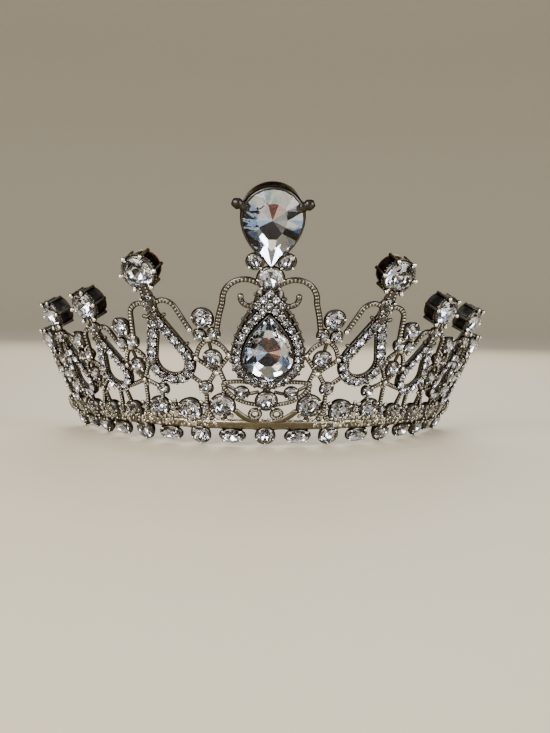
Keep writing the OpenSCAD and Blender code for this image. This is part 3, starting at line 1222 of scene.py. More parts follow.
@dataclass(frozen=True)
class Cup:
    """A round cup for one stone, its rim just above the stone's girdle."""

    stone: float
    wall: float = 0.75
    floor: float = 0.8
    extra: float = 0.0
    claws: int = 4
    claw_size: float = 0.8
    taper: float = 0.7

    @property
    def depth(self) -> float:
        """Depth of the cup behind the girdle."""
        return DEPTH * self.stone + self.floor + self.extra

    def form(self) -> Form:
        """Builds the cup without its claws: a bright rim and dark sides.

        Returns:
            The cup.
        """
        seat, outer, deep = self.stone / 2 + 0.05, self.stone / 2 + self.wall, self.depth
        profile = [
            (outer * 0.4, -deep, BACK),
            (outer * self.taper - 0.25, -deep, BACK),
            (outer * self.taper, -deep + 0.25, 0.3),
            (outer * (0.5 + self.taper / 2), -deep * 0.6, 0.0),
            (outer - 0.2, -0.95, 0.05),
            (outer - 0.08, -0.6, 0.35),
            (outer - 0.28, -0.12, 0.2),
            (self.stone / 2 + 0.28, 0.08, 0.42),
            (self.stone / 2 + 0.12, 0.12, 0.5),
            (seat, 0.02, 0.2),
            (seat, -0.3, 0.0),
            (0.3, -DEPTH * self.stone - 0.25, 0.0),
        ]
        return lathe(profile, 24 if self.stone > 4 else 16)

    def set_in(self, metal: Stock, place: Place, turn: float = 45.0) -> None:
        """Adds the cup and its claws.

        Args:
            metal: stock to add to.
            place: place of the girdle's middle.
            turn: bearing of the first claw.
        """
        metal.add(self.form(), place)
        reach = self.stone / 2 + 0.18
        grain = bead(self.claw_size, 8, 5)
        for k in range(self.claws):
            spin = turned(turn + k * 360 / self.claws)
            metal.add(grain, place @ spin @ moved(reach, 0, 0.2) @ scaled(1.15, 0.75, 0.8))


def brilliant(width: float, seed: int) -> Form:
    """A round stone with the part's own crown and depth."""
    return Stone(width, CROWN * width, DEPTH * width, seed=seed).form()


def paved(width: float, crown: float, depth: float, seed: int) -> Form:
    """A small stone of few facets, its foil given soft grey painted reflections."""
    return Stone(
        width, crown, depth, girdle=0.15, cut=Cut.SMALL, table=0.66,
        seed=seed, mains=SOFT, edges=GREY_REFLECTIONS,
    ).form()


def bead_row(
    stock: Stock,
    place: Place,
    path: Outline,
    size: float,
    pitch: float,
    lift: float,
    rub: float,
    closed: bool = False,
) -> None:
    """Sets a row of beads along a path.

    Args:
        stock: stock to add to.
        place: place of the path's plane.
        path: points of the path.
        size: diameter of a bead.
        pitch: distance between beads.
        lift: height above the plane.
        rub: how bright the beads are worn.
        closed: whether the path is closed.
    """
    grain = bead(size, 7, 5, rub)
    for x, y in spaced(path, pitch, closed)[0]:
        stock.add(grain, place @ moved(x, y, lift))


def beaded_wire(
    stock: Stock, place: Place, path: Outline, radius: float = 0.74, rub: float = 0.55
) -> None:
    """Runs a scroll wire along a path, with milled ribs across its front.

    Args:
        stock: stock to add to.
        place: place of the path's plane.
        path: points of the path.
        radius: half the wire's width.
        rub: how bright the ribs are worn.
    """
    stock.add(tube(path, radius, 0.8), place)
    rib = bead(radius, 7, 5, rub)
    for (x, y), along in zip(*spaced(path, radius * 1.25), strict=True):
        turn = turned(math.degrees(math.atan2(along[1], along[0])))
        stock.add(rib, place @ moved(x, y, radius * 0.6) @ turn @ scaled(0.8, 1.7, 0.8))


@dataclass(frozen=True)
class Pave:
    """Small stones set close along a row, with grains of metal between them."""

    size: float
    pitch: float
    lift: float
    seed: int

    def seat(self) -> Form:
        """Builds the metal round one stone.

        Returns:
            The seat.
        """
        deep = PAVED_DEPTH * self.size + 0.1
        profile = [
            (self.size * 0.3, -deep - 0.06, 0.0),
            (self.size * 0.56, -deep * 0.7, 0.0),
            (self.size * 0.56, -0.06, 0.12),
            (self.size * 0.51, 0.05, 0.25),
            (self.size * 0.49, -0.1, 0.0),
            (0.04, -deep, 0.0),
        ]
        return lathe(profile, 14)

    def lay(
        self,
        stones: Stock,
        metal: Stock,
        place: Place,
        path: Outline,
        bound: Outline | None = None,
    ) -> None:
        """Lays one closed row.

        Args:
            stones: stock for the stones.
            metal: stock for seats and grains.
            place: place of the row's plane.
            path: path of the stones' middles.
            bound: outline that the stones stay inside.
        """
        seat, grain = self.seat(), bead(self.size * 0.24, 6, 4, 0.6)
        spots, heading = spaced(path, self.pitch, closed=True)
        for k, (spot, along) in enumerate(zip(spots, heading, strict=True)):
            if bound is not None and depth_inside(bound, spot) < self.size * 0.42:
                continue
            at = place @ moved(spot[0], spot[1], self.lift)
            crown, depth = CROWN * self.size, PAVED_DEPTH * self.size
            stone = paved(self.size, crown, depth, self.seed + 5 * k)
            stones.add(stone, at @ turned(17.0 * k + self.seed))
            metal.add(seat, at)
            for side in (-0.42, 0.42):
                x = spot[0] + along[0] * self.pitch / 2 - along[1] * self.size * side
                y = spot[1] + along[1] * self.pitch / 2 + along[0] * self.size * side
                metal.add(grain, place @ moved(x, y, self.lift + 0.12))


# width of a full-size flower's stone
FLOWER = 1.9


def flower(metal: Stock, accents: Stock, place: Place, width: float = FLOWER) -> None:
    """Sets a tiny stone ringed with six petals.

    Args:
        metal: stock for the petals.
        accents: stock for the stone.
        place: place of the flower's middle.
        width: width of the stone.
    """
    k = width / FLOWER
    profile = [
        (0.5 * k, -0.7, 0.0),
        (1.15 * k, -0.5, 0.0),
        (1.2 * k, 0.6, 0.2),
        (1.0 * k, 0.78, 0.4),
        (0.95 * k, 0.6, 0.0),
        (0.05, 0.0, 0.0),
    ]
    accents.add(paved(width, 0.32, 0.6, 1), place @ moved(z=0.75))
    metal.add(lathe(profile, 14), place)
    petal = bead(1.25 * k, 8, 6, 0.65)
    for turn in range(30, 390, 60):
        metal.add(petal, place @ turned(turn) @ moved(1.55 * k) @ scaled(1.3, 0.9, 0.75))


# Sub-assemblies


@dataclass
class BaseBand:
    """The plain band under the openwork, with its scalloped lower flange."""

    low: float = 2.1
    high: float = 4.75
    thickness: float = 1.46
    flange_low: float = 1.35
    step: float = 1.0

    def section(self, angle: float) -> list[Corner]:
        """Draws the band's section at an angle.

        Args:
            angle: bearing from the middle, in degrees.

        Returns:
            Height up the wall, distance out of it and wear of each corner.
        """
        half = self.thickness / 2
        sway = math.cos(math.radians(angle * 360 / (2 * BASE_PITCH)))
        low = self.flange_low + 0.75 * (1 - sway * sway)
        return [
            (low, -0.4, 0.1),
            (low, 0.35, 0.5),
            (low + 0.5, 0.42, 0.2),
            (self.low, 0.5, 0.15),
            (self.low + 0.3, half, 0.5),
            (3.5, half, 0.42),
            (self.high - 0.45, half - 0.02, 0.45),
            (self.high - 0.05, half - 0.3, 0.7),
            (self.high, 0.0, 0.5),
            (self.high - 0.25, -half, 0.35),
            (self.low, -half, 0.3),
        ]

    def build(self, finishes: Finishes) -> None:
        """Builds the band.

        Args:
            finishes: the tiara's finishes.
        """
        points, wear = [], []
        angles = np.arange(-WALL.end_half_angle, WALL.end_half_angle + self.step / 2, self.step)
        for angle in angles:
            half = HALVES["r" if angle >= 0 else "l"]
            for height, out, worn in self.section(angle):
                points.append((half @ WALL.at(abs(angle), height) @ (0.0, 0.0, out, 1.0))[:3])
                wear.append(worn)
        # the corners run clockwise as seen from the right end, so each face is turned over
        faces = [face[::-1] for face in skin(len(angles), len(self.section(0)))]
        layers = [Cast.WARM.value] * len(faces)
        stock = Stock()
        stock.add(Form(np.array(points), faces, np.array(wear), finishes=layers), np.eye(4))
        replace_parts(stock.piece("base_band", Slot.METAL, finishes.metal), "frame")


@dataclass
class BaseRow:
    """Round and oval stones along the foot, each with its claws."""

    middle: float = 4.5
    other: float = 4.7
    oval_height: float = 3.8
    oval_stretch: float = 6.0 / 3.8

    def build(self, finishes: Finishes) -> None:
        """Builds the row's cups and stones.

        Args:
            finishes: the tiara's finishes.
        """
        metal, stones = Stock(), Stock()
        stretch = scaled(self.oval_stretch, 1.0, 1.0)
        for k in range(BASE_SIDE_COUNT + 1):
            place = WALL.at(k * BASE_PITCH, 0) @ moved(z=STONE_OUT)
            # the middle stone has no mirror image
            for side, half in enumerate(list(HALVES.values())[: 2 if k else 1]):
                spot = half @ place
                if k % 2:
                    Cup(self.oval_height, wall=0.62, floor=0.5).set_in(metal, spot @ stretch)
                    oval = Stone(self.oval_height, crown=0.55, pavilion=1.15, seed=k + 9 * side)
                    stones.add(oval.form(), spot @ stretch)
                else:
                    width = self.other if k else self.middle
                    Cup(width, claws=5).set_in(metal, spot, 270)
                    stones.add(brilliant(width, 2 * k + side), spot)
        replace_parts(metal.piece("base_cups", Slot.METAL, finishes.metal), "frame")
        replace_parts(stones.piece("base_crystals", Slot.CRYSTAL, finishes.stone), "base_stones")


@dataclass
class SecondRow:
    """The larger round stones above the band, on short stems."""

    stem_foot: float = 4.6

    def build(self, finishes: Finishes, accents: Stock) -> None:
        """Builds cups, stems, flowers between them and one piece a stone.

        Args:
            finishes: the tiara's finishes.
            accents: stock for the flowers' stones.
        """
        metal, petal = Stock(), bead(1.35, 8, 6, 0.6)
        for k, (x, y, width) in enumerate(ROW_SPOTS):
            place = WALL.pattern(x, y) @ moved(z=STONE_OUT)
            for mirrored, (side, half) in enumerate(HALVES.items()):
                spot = half @ place
                Cup(width, claws=6).set_in(metal, spot, 30)
                for bearing in (-155, -125, -55, -25):
                    reach = turned(bearing) @ moved(width / 2 + 1.0, 0, -1.1)
                    metal.add(petal, spot @ reach @ scaled(1.3, 0.85, 0.8))
                stone, at = brilliant(width, 3 * k + mirrored), spot @ turned(11.0 * k)
                name, node = f"row_crystal_{side}{k + 1}", f"row_stone_{side}{k + 1}"
                set_stone(stone, at, name, node, finishes.stone)
            angle, height = WALL.unroll(x, y)
            low, high = self.stem_foot - height, -width / 2
            stem = np.array([[0.0, low], [0.0, (low + high) / 2], [0.0, high]])
            metal.both(tube(stem, [1.1, 0.8, 1.0], 0.5), WALL.at(angle, height))
        for first, second in zip(ROW_SPOTS, ROW_SPOTS[1:], strict=False):
            x, y = (first[0] + second[0]) / 2, (first[1] + second[1]) / 2 + 0.5
            for half in HALVES.values():
                flower(metal, accents, half @ WALL.pattern(x, y))
        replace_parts(metal.piece("row_cups", Slot.METAL, finishes.metal), "frame")


@dataclass(frozen=True)
class PearMount:
    """A pear stone in a deep dark cup.

    Lugs is the bearing of the two knobs beside the stone, or 0 for none.
    """

    name: str
    node: str
    width: float
    tip: float
    height: float
    out: float
    upside_down: bool
    mains: tuple[Colour, ...]
    edges: tuple[Colour, ...] = RIM
    crown: float = 1.9
    pavilion: float = 3.2
    wall: float = 0.75
    lugs: float = 0.0

    @property
    def drop(self) -> Drop:
        """Outline of the stone's girdle."""
        return Drop(self.width / 2, self.tip, full=True)

    def place(self) -> Place:
        """Place of the middle of the stone's round end."""
        turn = turned(180.0 if self.upside_down else 0.0)
        return WALL.at(0, self.height) @ moved(z=self.out) @ turn

    def build(self, metal: Stock, finishes: Finishes) -> None:
        """Adds the cup to the metal and builds the stone.

        Args:
            metal: stock for the cup.
            finishes: the tiara's finishes.
        """
        place, drop = self.place(), self.drop
        outer, deep = self.wall - 0.06, self.pavilion + 0.8
        section = [
            (-1.5, -deep, BACK),
            (outer - 0.35, -deep, BACK),
            (outer - 0.15, -deep + 0.08, 0.2),
            (outer - 0.02, -deep + 0.3, 0.1),
            (outer - 0.02, -deep + 0.5, 0.0),
            (outer - 0.02, -1.6, 0.0),
            (outer - 0.05, -1.2, 0.0),
            (outer, -0.9, 0.15),
            (outer - 0.25, -0.6, 0.0),
            (outer - 0.2, -0.25, 0.05),
            (outer - 0.3, 0.08, 0.22),
            (0.16, 0.12, 0.3),
            (0.04, 0.0, 0.1),
            (0.04, -0.4, 0.0),
            (-1.5, -deep + 0.6, 0.0),
        ]
        metal.add(drop_band(drop, section), place)
        metal.add(slab(drop.outline(-1.0), -deep, -deep + 0.5), place)
        for side in (-1, 1) if self.lugs else ():
            spot = place @ turned(side * self.lugs) @ moved(0, drop.radius + 0.35, -0.8)
            stub = np.array([(0.0, y) for y in (-0.6, 0.3, 0.7, 1.0, 1.5, 1.9)])
            knob = tube(stub, [1.25, 1.35, 1.0, 1.3, 1.4, 1.2], sides=16)
            knob.wear = knob.wear * 0.4
            metal.add(knob, spot)
        shape = Stone(
            self.width, self.crown, self.pavilion, cut=Cut.PEAR, tip=self.tip, table=0.58,
            seed=0, mains=self.mains, edges=self.edges,
        )
        set_stone(shape.form(), place, self.name, self.node, finishes.pear)


# painted reflections on the foil's main facets, counted anticlockwise from the tip
UPPER_MAINS = (INK, INK, SMOKE, STEEL, STEEL, ROSE, BARK, LILAC, PALE, SKY, INK, INK)
LOWER_MAINS = (BARK, SMOKE, STEEL, PALE, SKY, INK, INK, INK, BARK, ROSE, BARK, SMOKE)
UPPER_PEAR = PearMount(
    "upper_crystal", "upper_pear", width=14.2, tip=12.2, height=63.2, out=1.6,
    upside_down=True, mains=UPPER_MAINS, lugs=111.0,
)
LOWER_PEAR = PearMount(
    "lower_crystal", "lower_pear", width=12.8, tip=12.6, height=24.6, out=1.5,
    upside_down=False, mains=LOWER_MAINS,
)


@dataclass
class CentrePiece:
    """The tall middle: two pears, the paved halo, arches, hooks, leaves and rings."""

    halo: tuple[Spot, ...] = ((3.2, 44.0), (4.4, 39.0), (6.4, 36.0), (8.6, 30.4))
    halo_middle: float = 25.0
    halo_radius: float = 9.6
    halo_claws_top: float = 43.5
    lanes: tuple[float, ...] = (1.75, 4.0, 6.2)

    def halo_outline(self) -> Outline:
        """Draws the outline of the paved plate.

        Returns:
            Points of the outline, from the top down its right side.
        """
        right = np.array(self.halo)
        bow = arc((0.0, self.halo_middle), self.halo_radius, 22, -202, 40)
        return np.vstack([right, bow, right[::-1] * (-1, 1)])

    def build_halo(self, metal: Stock, stones: Stock) -> None:
        """Paves the plate round the lower pear.

        Args:
            metal: stock for the plate, seats and claws.
            stones: stock for the small stones.
        """
        place, outline, drop = WALL.at(0, 0), self.halo_outline(), LOWER_PEAR.drop
        middle = (0.0, LOWER_PEAR.height)
        hole = drop.outline(0.4) + middle
        metal.add(ring_slab(outline, hole, (0.0, 27.0), -0.73, 0.1), place)
        rim = outline[outline[:, 1] < self.halo_claws_top]
        metal.add(tube(rim * (0.97, 1.0) + (0, 0.1), 0.42, 1.0, 8), place @ moved(z=0.22))
        for row, grow in enumerate(self.lanes):
            lane, path = Pave(2.2, 2.24, 0.84, 3 + row), drop.outline(grow)
            lane.lay(stones, metal, place @ moved(*middle), path, bound=outline - middle)
        claw = upright(0.7, 0.5)
        for spot, along in zip(*spaced(outline, 2.55, closed=True), strict=True):
            if spot[1] < self.halo_claws_top:
                turn = turned(math.degrees(math.atan2(along[0], -along[1])) + 90)
                metal.add(claw, place @ moved(spot[0], spot[1], 0.25) @ turn @ moved(0, -0.15))

    def build_scrolls(self, metal: Stock) -> None:
        """Adds arches, hooks, rings, leaves and the swags under them.

        Args:
            metal: stock to add to.
        """
        place = WALL.at(0, 0)
        fall = curve_through([(11.9, 40.0), (12.7, 36.5), (13.25, 32.7)], 8)
        arch = np.vstack([arc((6.3, 41.2), 5.5, 122, -2, 22), fall])
        hook = arc((5.0, 41.7), 2.3, -120, 8, 14)
        ring = arc((2.9, 6.9), 1.35, 0, 345, 24)
        edge = [(2.0, 16.0), (6.5, 17.1), (11.4, 16.4), (9.6, 13.2), (6.6, 10.9), (2.4, 9.8)]
        leaf = curve_through(edge, 8)
        inner = np.array([[2.4, 13.9], [3.3, 13.6], [4.2, 13.4]])
        outer = np.array([[8.7, 14.7], [9.8, 15.4], [11.0, 16.2]])
        swag = tube(arc((0.0, 14.48), 10.45, -90, -41, 20), 0.85, 0.7, 12)
        swag.finishes = [Cast.WARM.value] * len(swag.faces)
        for half in HALVES.values():
            spot = half @ place
            beaded_wire(metal, spot, arch, 0.78, 0.5)
            beaded_wire(metal, spot, hook, 0.74, 0.4)
            metal.add(bead(1.6, 12, 8, 0.4), spot @ moved(7.3, 42.1, 0.1))
            metal.add(tube(ring, 0.6, 0.9, 12, closed=True), spot)
            bead_row(metal, spot, ring, 0.62, 0.62, 0.38, 0.55, closed=True)
            beaded_wire(metal, spot, leaf, 0.62)
            for spine in (inner, outer):
                metal.add(tube(spine, 0.5), spot)
            metal.add(swag, spot)
            metal.add(tube(np.array([[0.4, 14.4], [0.9, 15.8]]), 0.6), spot)

    def build(self, finishes: Finishes) -> None:
        """Builds the whole centre piece.

        Args:
            finishes: the tiara's finishes.
        """
        metal, stones = Stock(), Stock()
        self.build_halo(metal, stones)
        self.build_scrolls(metal)
        for pear in (UPPER_PEAR, LOWER_PEAR):
            pear.build(metal, finishes)
        for name, height, width, claws in (("neck", 47.0, 6.0, 8), ("drop", 11.3, 5.0, 4)):
            spot, stone = WALL.at(0, height) @ moved(z=STONE_OUT), brilliant(width, 4)
            Cup(width, claws=claws, claw_size=0.75).set_in(metal, spot)
            set_stone(stone, spot, f"{name}_crystal", f"{name}_stone", finishes.stone)
        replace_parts(metal.piece("centre_casting", Slot.METAL, finishes.metal), "frame")
        stones.piece("halo_pave", Slot.CRYSTAL, finishes.stone)


@dataclass
class SidePoints:
    """Paved loops with scroll wires, each carrying a stone in a clawed cup at its peak."""

    opening: float = 3.9
    opening_tip: float = 9.8
    width: float = 3.05
    peak_out: float = 0.3
    claws: int = 6

    def build_loop(self, spot: PointSpot, place: Place, metal: Stock, stones: Stock) -> None:
        """Adds one paved loop and its wires.

        Args:
            spot: row of the table.
            place: place of the loop.
            metal: stock for the casting.
            stones: stock for the small stones.
        """
        k = spot.scale
        width = self.width * k
        section = [
            (0.0, -0.72, BACK),
            (width, -0.72, BACK),
            (width + 0.02, 0.2, 0.2),
            (width - 0.2, 0.5, 0.32),
            (width - 0.3, 0.0, 0.0),
            (0.3, 0.0, 0.0),
            (0.22, 0.5, 0.2),
            (0.0, 0.25, 0.2),
        ]
        drop = Drop(self.opening * k, self.opening_tip * k)
        metal.add(drop_band(drop, section), place)
        row = Pave(2.68 * k**0.6, 2.82 * k**0.6, 0.85, 7)
        row.lay(stones, metal, place, drop.outline(width * 0.52))
        bead_row(metal, place, drop.outline(0.05), 0.45, 0.75, 0.4, 0.5, closed=True)
        cup = spot.neck / 2 + 0.5
        ends = (13.2 * k, spot.neck_rise - cup, spot.neck_rise + cup, spot.peak - spot.stone / 2)
        for low, high in (ends[:2], ends[2:]):
            shaft = np.array([[0.0, low], [0.0, (low + high) / 2], [0.0, high]])
            metal.add(tube(shaft, [1.9 * k, 1.6 * k, 1.9 * k], 0.34 / k, sides=12), place)
            for x in (-0.85 * k, 0.85 * k):
                bead_row(metal, place, shaft + (x, 0), 0.8, 1.0, 0.5, 0.5)
        bend = arc((3.3 * k, 13.9 * k), 3.5 * k, 118, 16, 16)
        fall = curve_through([tuple(bend[-1]), (7.5 * k, 11.8 * k), (8.5 * k, 8.2 * k)], 6)
        for side in (-1, 1):
            path = np.vstack([bend, fall[1:]]) * (side, 1)
            beaded_wire(metal, place, path)
            metal.add(bead(1.6, 10, 7), place @ moved(path[-1][0], path[-1][1], 0.1))
        for x, y, bearing in ((-2.0, 13.0, 65), (2.0, 13.3, -65), (-5.6, 4.2, 75), (-6.6, 1.0, 90)):
            claw = place @ moved(x * k, y * k, 0.1) @ turned(bearing)
            metal.add(upright(1.0 * k, 0.55), claw)

    def build_peak(self, spot: PointSpot, place: Place, metal: Stock) -> None:
        """Adds the deep cup at the peak with its knobbed claws.

        Args:
            spot: row of the table.
            place: place of the peak stone's girdle.
            metal: stock for the casting.
        """
        cup = Cup(spot.stone, extra=1.4, taper=0.88)
        metal.add(cup.form(), place)
        reach, deep = spot.stone / 2 + 0.08, cup.depth
        ring = arc((0.0, 0.0), reach + 0.66, 0, 345, 24)
        bead_row(metal, place, ring, 0.55, 0.9, -0.62, 0.35, closed=True)
        profile = [(0.2, 0, 0.2), (0.5, 0.15, 0.3), (0.42, deep - 0.6, 0.4), (0.55, deep, 0.6)]
        stem, knob, tip = lathe(profile, 8), bead(1.3, 10, 7), bead(0.7, 8, 5)
        for k in range(self.claws):
            claw = place @ turned(k * 360 / self.claws)
            metal.add(stem, claw @ moved(reach + 0.55, 0, 0.5 - deep))
            metal.add(knob, claw @ moved(reach + 0.7, 0, 0.32))
            metal.add(tip, claw @ moved(reach + 0.05, 0, 0.42))

    def build(self, finishes: Finishes, small: Stock) -> None:
        """Builds every side point.

        Args:
            finishes: the tiara's finishes.
            small: stock for the small neck stones.
        """
        metal, stones = Stock(), Stock()
        for k, spot in enumerate(POINTS):
            right = WALL.pattern(spot.x, spot.y, spot.turn)
            for mirrored, (side, half) in enumerate(HALVES.items()):
                place = half @ right
                self.build_loop(spot, place, metal, stones)
                peak = place @ moved(0, spot.peak, self.peak_out)
                self.build_peak(spot, peak, metal)
                stone, at = brilliant(spot.stone, 5 * k + mirrored), peak @ turned(9.0 * k)
                name, node = f"peak_crystal_{side}{k + 1}", f"peak_stone_{side}{k + 1}"
                set_stone(stone, at, name, node, finishes.stone)
                neck = place @ moved(0, spot.neck_rise, STONE_OUT)
                Cup(spot.neck).set_in(metal, neck)
                small.add(brilliant(spot.neck, k), neck)
        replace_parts(metal.piece("point_casting", Slot.METAL, finishes.metal), "frame")
        stones.piece("point_pave", Slot.CRYSTAL, finishes.stone)


@dataclass
class Valleys:
    """Stones between the points, each over a small lattice diamond."""

    small_width: float = 2.8
    small_side: float = 1.9
    small_fall: float = 4.6

    def build(self, finishes: Finishes, small: Stock, accents: Stock) -> None:
        """Builds every valley and its diamond.

        Args:
            finishes: the tiara's finishes.
            small: stock for the small stones.
            accents: stock for the flowers' stones.
        """
        metal = Stock()
        for k, spot in enumerate(VALLEYS):
            right = WALL.pattern(spot.x, spot.y, spot.turn)
            for mirrored, (side, half) in enumerate(HALVES.items()):
                place = half @ right
                self.build_cups(spot, k, place, metal, small)
                self.build_diamond(spot, place, metal)
                w, waist = spot.half_width, spot.waist
                # the first diamond has no flowers at its corners
                for x, y in ((-w, waist), (w, waist), (0.0, spot.foot)) if k else ():
                    flower(metal, accents, place @ moved(x, y), 1.7)
                stone, at = brilliant(spot.stone, k + 2 * mirrored), place @ moved(z=STONE_OUT)
                name, node = f"valley_crystal_{side}{k + 1}", f"valley_stone_{side}{k + 1}"
                set_stone(stone, at, name, node, finishes.stone)
                if k == 0:
                    jewel = brilliant(spot.lattice, 6)
                    at = place @ moved(0, -spot.drop, STONE_OUT)
                    name, node = f"lattice_crystal_{side}1", f"lattice_stone_{side}1"
                    set_stone(jewel, at, name, node, finishes.stone)
        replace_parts(metal.piece("valley_casting", Slot.METAL, finishes.metal), "frame")

    def build_cups(
        self, spot: ValleySpot, number: int, place: Place, metal: Stock, small: Stock
    ) -> None:
        """Adds the cups of one valley and its small stones.

        Args:
            spot: row of the table.
            number: number of the row, from 0.
            place: place of the valley.
            metal: stock for the cups.
            small: stock for the small stones.
        """
        Cup(spot.stone, claws=5).set_in(metal, place @ moved(z=STONE_OUT), 90)
        for side in (-1, 1):
            at = place @ moved(side * self.small_side, -self.small_fall, STONE_OUT)
            Cup(self.small_width, wall=0.6, claws=3, claw_size=0.7).set_in(metal, at, 90)
            small.add(brilliant(self.small_width, number + side), at)
        at = place @ moved(0, -spot.drop, STONE_OUT)
        Cup(spot.lattice).set_in(metal, at)
        if number:
            small.add(brilliant(spot.lattice, number), at)

    def build_diamond(self, spot: ValleySpot, place: Place, metal: Stock) -> None:
        """Adds the bowed wires round the lattice stone.

        Args:
            spot: row of the table.
            place: place of the valley.
            metal: stock to add to.
        """
        top, waist, foot = spot.top, spot.waist, spot.foot
        for w in (-spot.half_width, spot.half_width):
            upper = [(0, top), (w * 0.62, (top + waist) / 2 + 0.5), (w, waist)]
            lower = [(w, waist), (w * 0.45, (waist + foot) / 2 - 0.1), (0, foot)]
            for knots in (upper, lower):
                beaded_wire(metal, place, curve_through(knots, 6), 0.64)
            metal.add(bead(1.6, 10, 7), place @ moved(w, waist, 0.1))
        metal.add(bead(1.7, 10, 7), place @ moved(0, top, 0.1))
        metal.add(bead(1.6, 10, 7), place @ moved(0, foot, 0.1))
        cup = spot.lattice / 2 + 0.6
        for low, high in ((top, cup - spot.drop), (-cup - spot.drop, foot)):
            metal.add(tube(np.array([[0.0, low], [0.0, high]]), 0.5), place)


@dataclass
class Lattice:
    """Short wires that tie the motifs together, loose cups and clusters of grains."""

    seed: int = 11
    # angles of the first clusters, of the first in many rows and between neighbours
    cluster_start: float = 0.6
    cluster_spread: float = 13.0
    cluster_pitch: float = 1.05
    # height up the wall and distance out of it for each row of grains
    middle_rows: tuple[Spot, ...] = ((4.85, 0.3),)
    side_rows: tuple[Spot, ...] = ((6.0, 0.0), (5.1, 0.3), (4.1, 0.62), (3.2, 0.66))

    def build(self, finishes: Finishes, small: Stock) -> None:
        """Builds wires, cups and clusters.

        Args:
            finishes: the tiara's finishes.
            small: stock for the small stones.
        """
        metal = Stock()
        for x0, y0, x1, y1, from_stop, to_stop in LINKS:
            start, end = np.array([x0, y0], float), np.array([x1, y1], float)
            middle = (start + end) / 2
            along = (end - start) / np.linalg.norm(end - start)
            a, b = start + along * from_stop - middle, end - along * to_stop - middle
            place = WALL.pattern(float(middle[0]), float(middle[1]))
            for half in HALVES.values():
                beaded_wire(metal, half @ place, np.vstack([a, (a + b) / 2, b]), 0.66)
        for number, (x, y, width) in enumerate(SMALL_SPOTS):
            place = WALL.pattern(x, y) @ moved(z=STONE_OUT)
            for k, half in enumerate(HALVES.values()):
                Cup(width, wall=0.65).set_in(metal, half @ place)
                small.add(brilliant(width, number + 3 * k), half @ place)
        self.build_clusters(metal)
        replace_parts(metal.piece("lattice_casting", Slot.METAL, finishes.metal), "frame")

    def build_clusters(self, metal: Stock) -> None:
        """Scatters grains along the band's upper edge, in more rows toward the ends.

        Args:
            metal: stock for the grains.
        """
        pick = random.Random(self.seed)
        angle = self.cluster_start
        while angle < WALL.end_half_angle - 0.5:
            rows = self.middle_rows if angle < self.cluster_spread else self.side_rows
            for height, out in rows:
                size = pick.uniform(0.75, 1.5) * (1.0 if angle > 8 else 0.75)
                at = WALL.at(angle + pick.uniform(-0.4, 0.4), height + pick.uniform(-0.35, 0.35))
                grain = bead(size, 8, 6, pick.uniform(0.35, 0.8))
                spin = turned(pick.uniform(0, 180))
                metal.both(grain, at @ moved(z=out - 0.1) @ spin @ scaled(1.35, 0.8, 0.75))
            angle += self.cluster_pitch


# Studio


@dataclass(frozen=True)
class Softbox:
    """A wide light aimed at the tiara: its place, size, watts and colour."""

    name: str
    spot: tuple[float, float, float]
    width: float
    height: float
    power: float
    colour: Colour
    target: tuple[float, float, float] = (0, 13, 35)

    def build(self) -> None:
        """Adds the light."""
        lamp = bpy.data.lights.new(self.name, "AREA")
        lamp.shape, lamp.size, lamp.size_y = "RECTANGLE", self.width * MM, self.height * MM
        lamp.energy, lamp.color = self.power, self.colour
        thing = bpy.data.objects.new(self.name, lamp)
        thing.location = Vector(self.spot) * MM
        aim = Vector(self.target) - Vector(self.spot)
        thing.rotation_euler = aim.to_track_quat("-Z", "Y").to_euler()
        bpy.context.scene.collection.objects.link(thing)


SOFTBOXES = (
    Softbox("key", (-330, -420, 260), 380, 340, 6.5, (1.0, 0.98, 0.95)),
    Softbox("fill", (400, -330, 170), 260, 340, 3.5, (0.93, 0.96, 1.0)),
    Softbox("back", (60, 560, 330), 560, 260, 3.0, (1.0, 0.97, 0.93)),
)


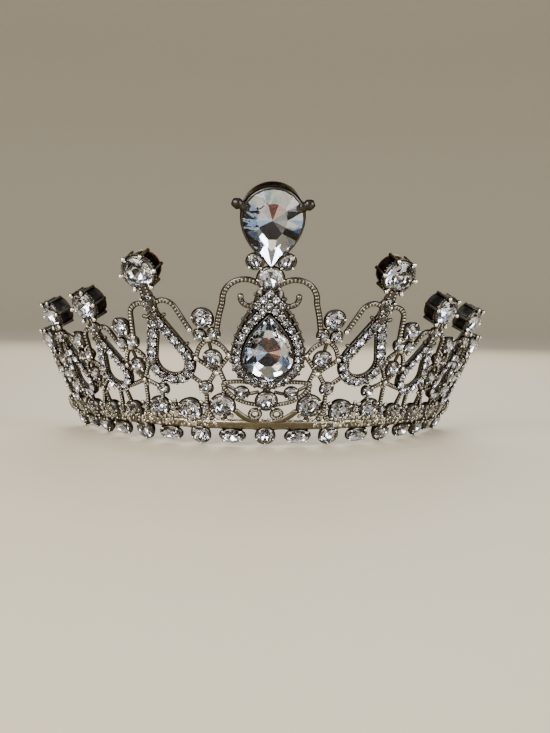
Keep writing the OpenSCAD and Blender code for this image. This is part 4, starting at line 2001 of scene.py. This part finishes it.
@dataclass
class Studio:
    """Pale sweep, soft lights and the camera."""

    camera_place: tuple[float, float, float] = (-8.27, -231.11, 37.15)
    heading: float = 2.65
    pitch: float = 3.74
    roll: float = 0.94
    lens: float = 41.75
    sweep_radius: float = 1400.0
    sweep_height: float = 1500.0
    sweep_sides: int = 72

    def build_sweep(self) -> None:
        """Makes the floor, curving up far from the tiara on every side."""
        flat, bend, sides = self.sweep_radius, self.sweep_radius * 0.5, self.sweep_sides
        profile = [(flat * k / 6, 0.0) for k in range(1, 7)]
        for a in range(15, 91, 15):
            turn = math.radians(a)
            profile.append((flat + bend * math.sin(turn), bend * (1 - math.cos(turn))))
        profile.append((flat + bend, self.sweep_height))
        angles = np.linspace(0, 2 * math.pi, sides, endpoint=False)
        points = [(0.0, 0.0, 0.0)]
        for r, z in profile:
            points += [(r * math.cos(a), r * math.sin(a), z) for a in angles]
        faces = [(0, 1 + j, 1 + (j + 1) % sides) for j in range(sides)]
        # the last two faces of the skin are its caps
        for face in skin(len(profile), sides)[:-2]:
            faces.append(tuple(1 + corner for corner in face[::-1]))
        mesh = bpy.data.meshes.new("sweep")
        mesh.from_pydata((np.array(points) * MM).tolist(), [], faces)
        mesh.polygons.foreach_set("use_smooth", [True] * len(faces))
        mesh.materials.append(PaleSweep().material())
        sweep = bpy.data.objects.new("sweep", mesh)
        bpy.context.scene.collection.objects.link(sweep)

    def build_camera(self) -> None:
        """Adds the camera at the photograph's angle."""
        camera = bpy.data.cameras.new("camera")
        camera.lens, camera.sensor_width = self.lens, 36.0
        camera.clip_start = 0.01
        thing = bpy.data.objects.new("camera", camera)
        aim = Euler((math.radians(90 - self.pitch), 0, math.radians(-self.heading)))
        spin = aim.to_matrix() @ Matrix.Rotation(math.radians(self.roll), 3, "Z")
        thing.matrix_world = Matrix.Translation(Vector(self.camera_place) * MM) @ spin.to_4x4()
        bpy.context.scene.collection.objects.link(thing)
        bpy.context.scene.camera = thing

    def build(self) -> None:
        """Sets up the whole studio."""
        self.build_sweep()
        for softbox in SOFTBOXES:
            softbox.build()
        world = bpy.data.worlds.new("soft_room")
        world.use_nodes = True
        back = world.node_tree.nodes["Background"]
        back.inputs["Color"].default_value = (0.74, 0.79, 0.86, 1.0)
        back.inputs["Strength"].default_value = 1.2
        bpy.context.scene.world = world
        self.build_camera()


def main() -> None:
    """Builds the tiara's looks and the studio round it."""
    logging.basicConfig(level=logging.INFO, format="%(message)s")
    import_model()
    finishes = Finishes.make()
    small, accents = Stock(), Stock()
    BaseBand().build(finishes)
    BaseRow().build(finishes)
    SecondRow().build(finishes, accents)
    CentrePiece().build(finishes)
    SidePoints().build(finishes, small)
    Valleys().build(finishes, small, accents)
    Lattice().build(finishes, small)
    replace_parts(small.piece("small_crystals", Slot.CRYSTAL, finishes.stone), "small_stones")
    accents.piece("accent_stones", Slot.CRYSTAL, finishes.stone)
    Studio().build()
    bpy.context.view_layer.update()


if __name__ == "__main__":
    main()
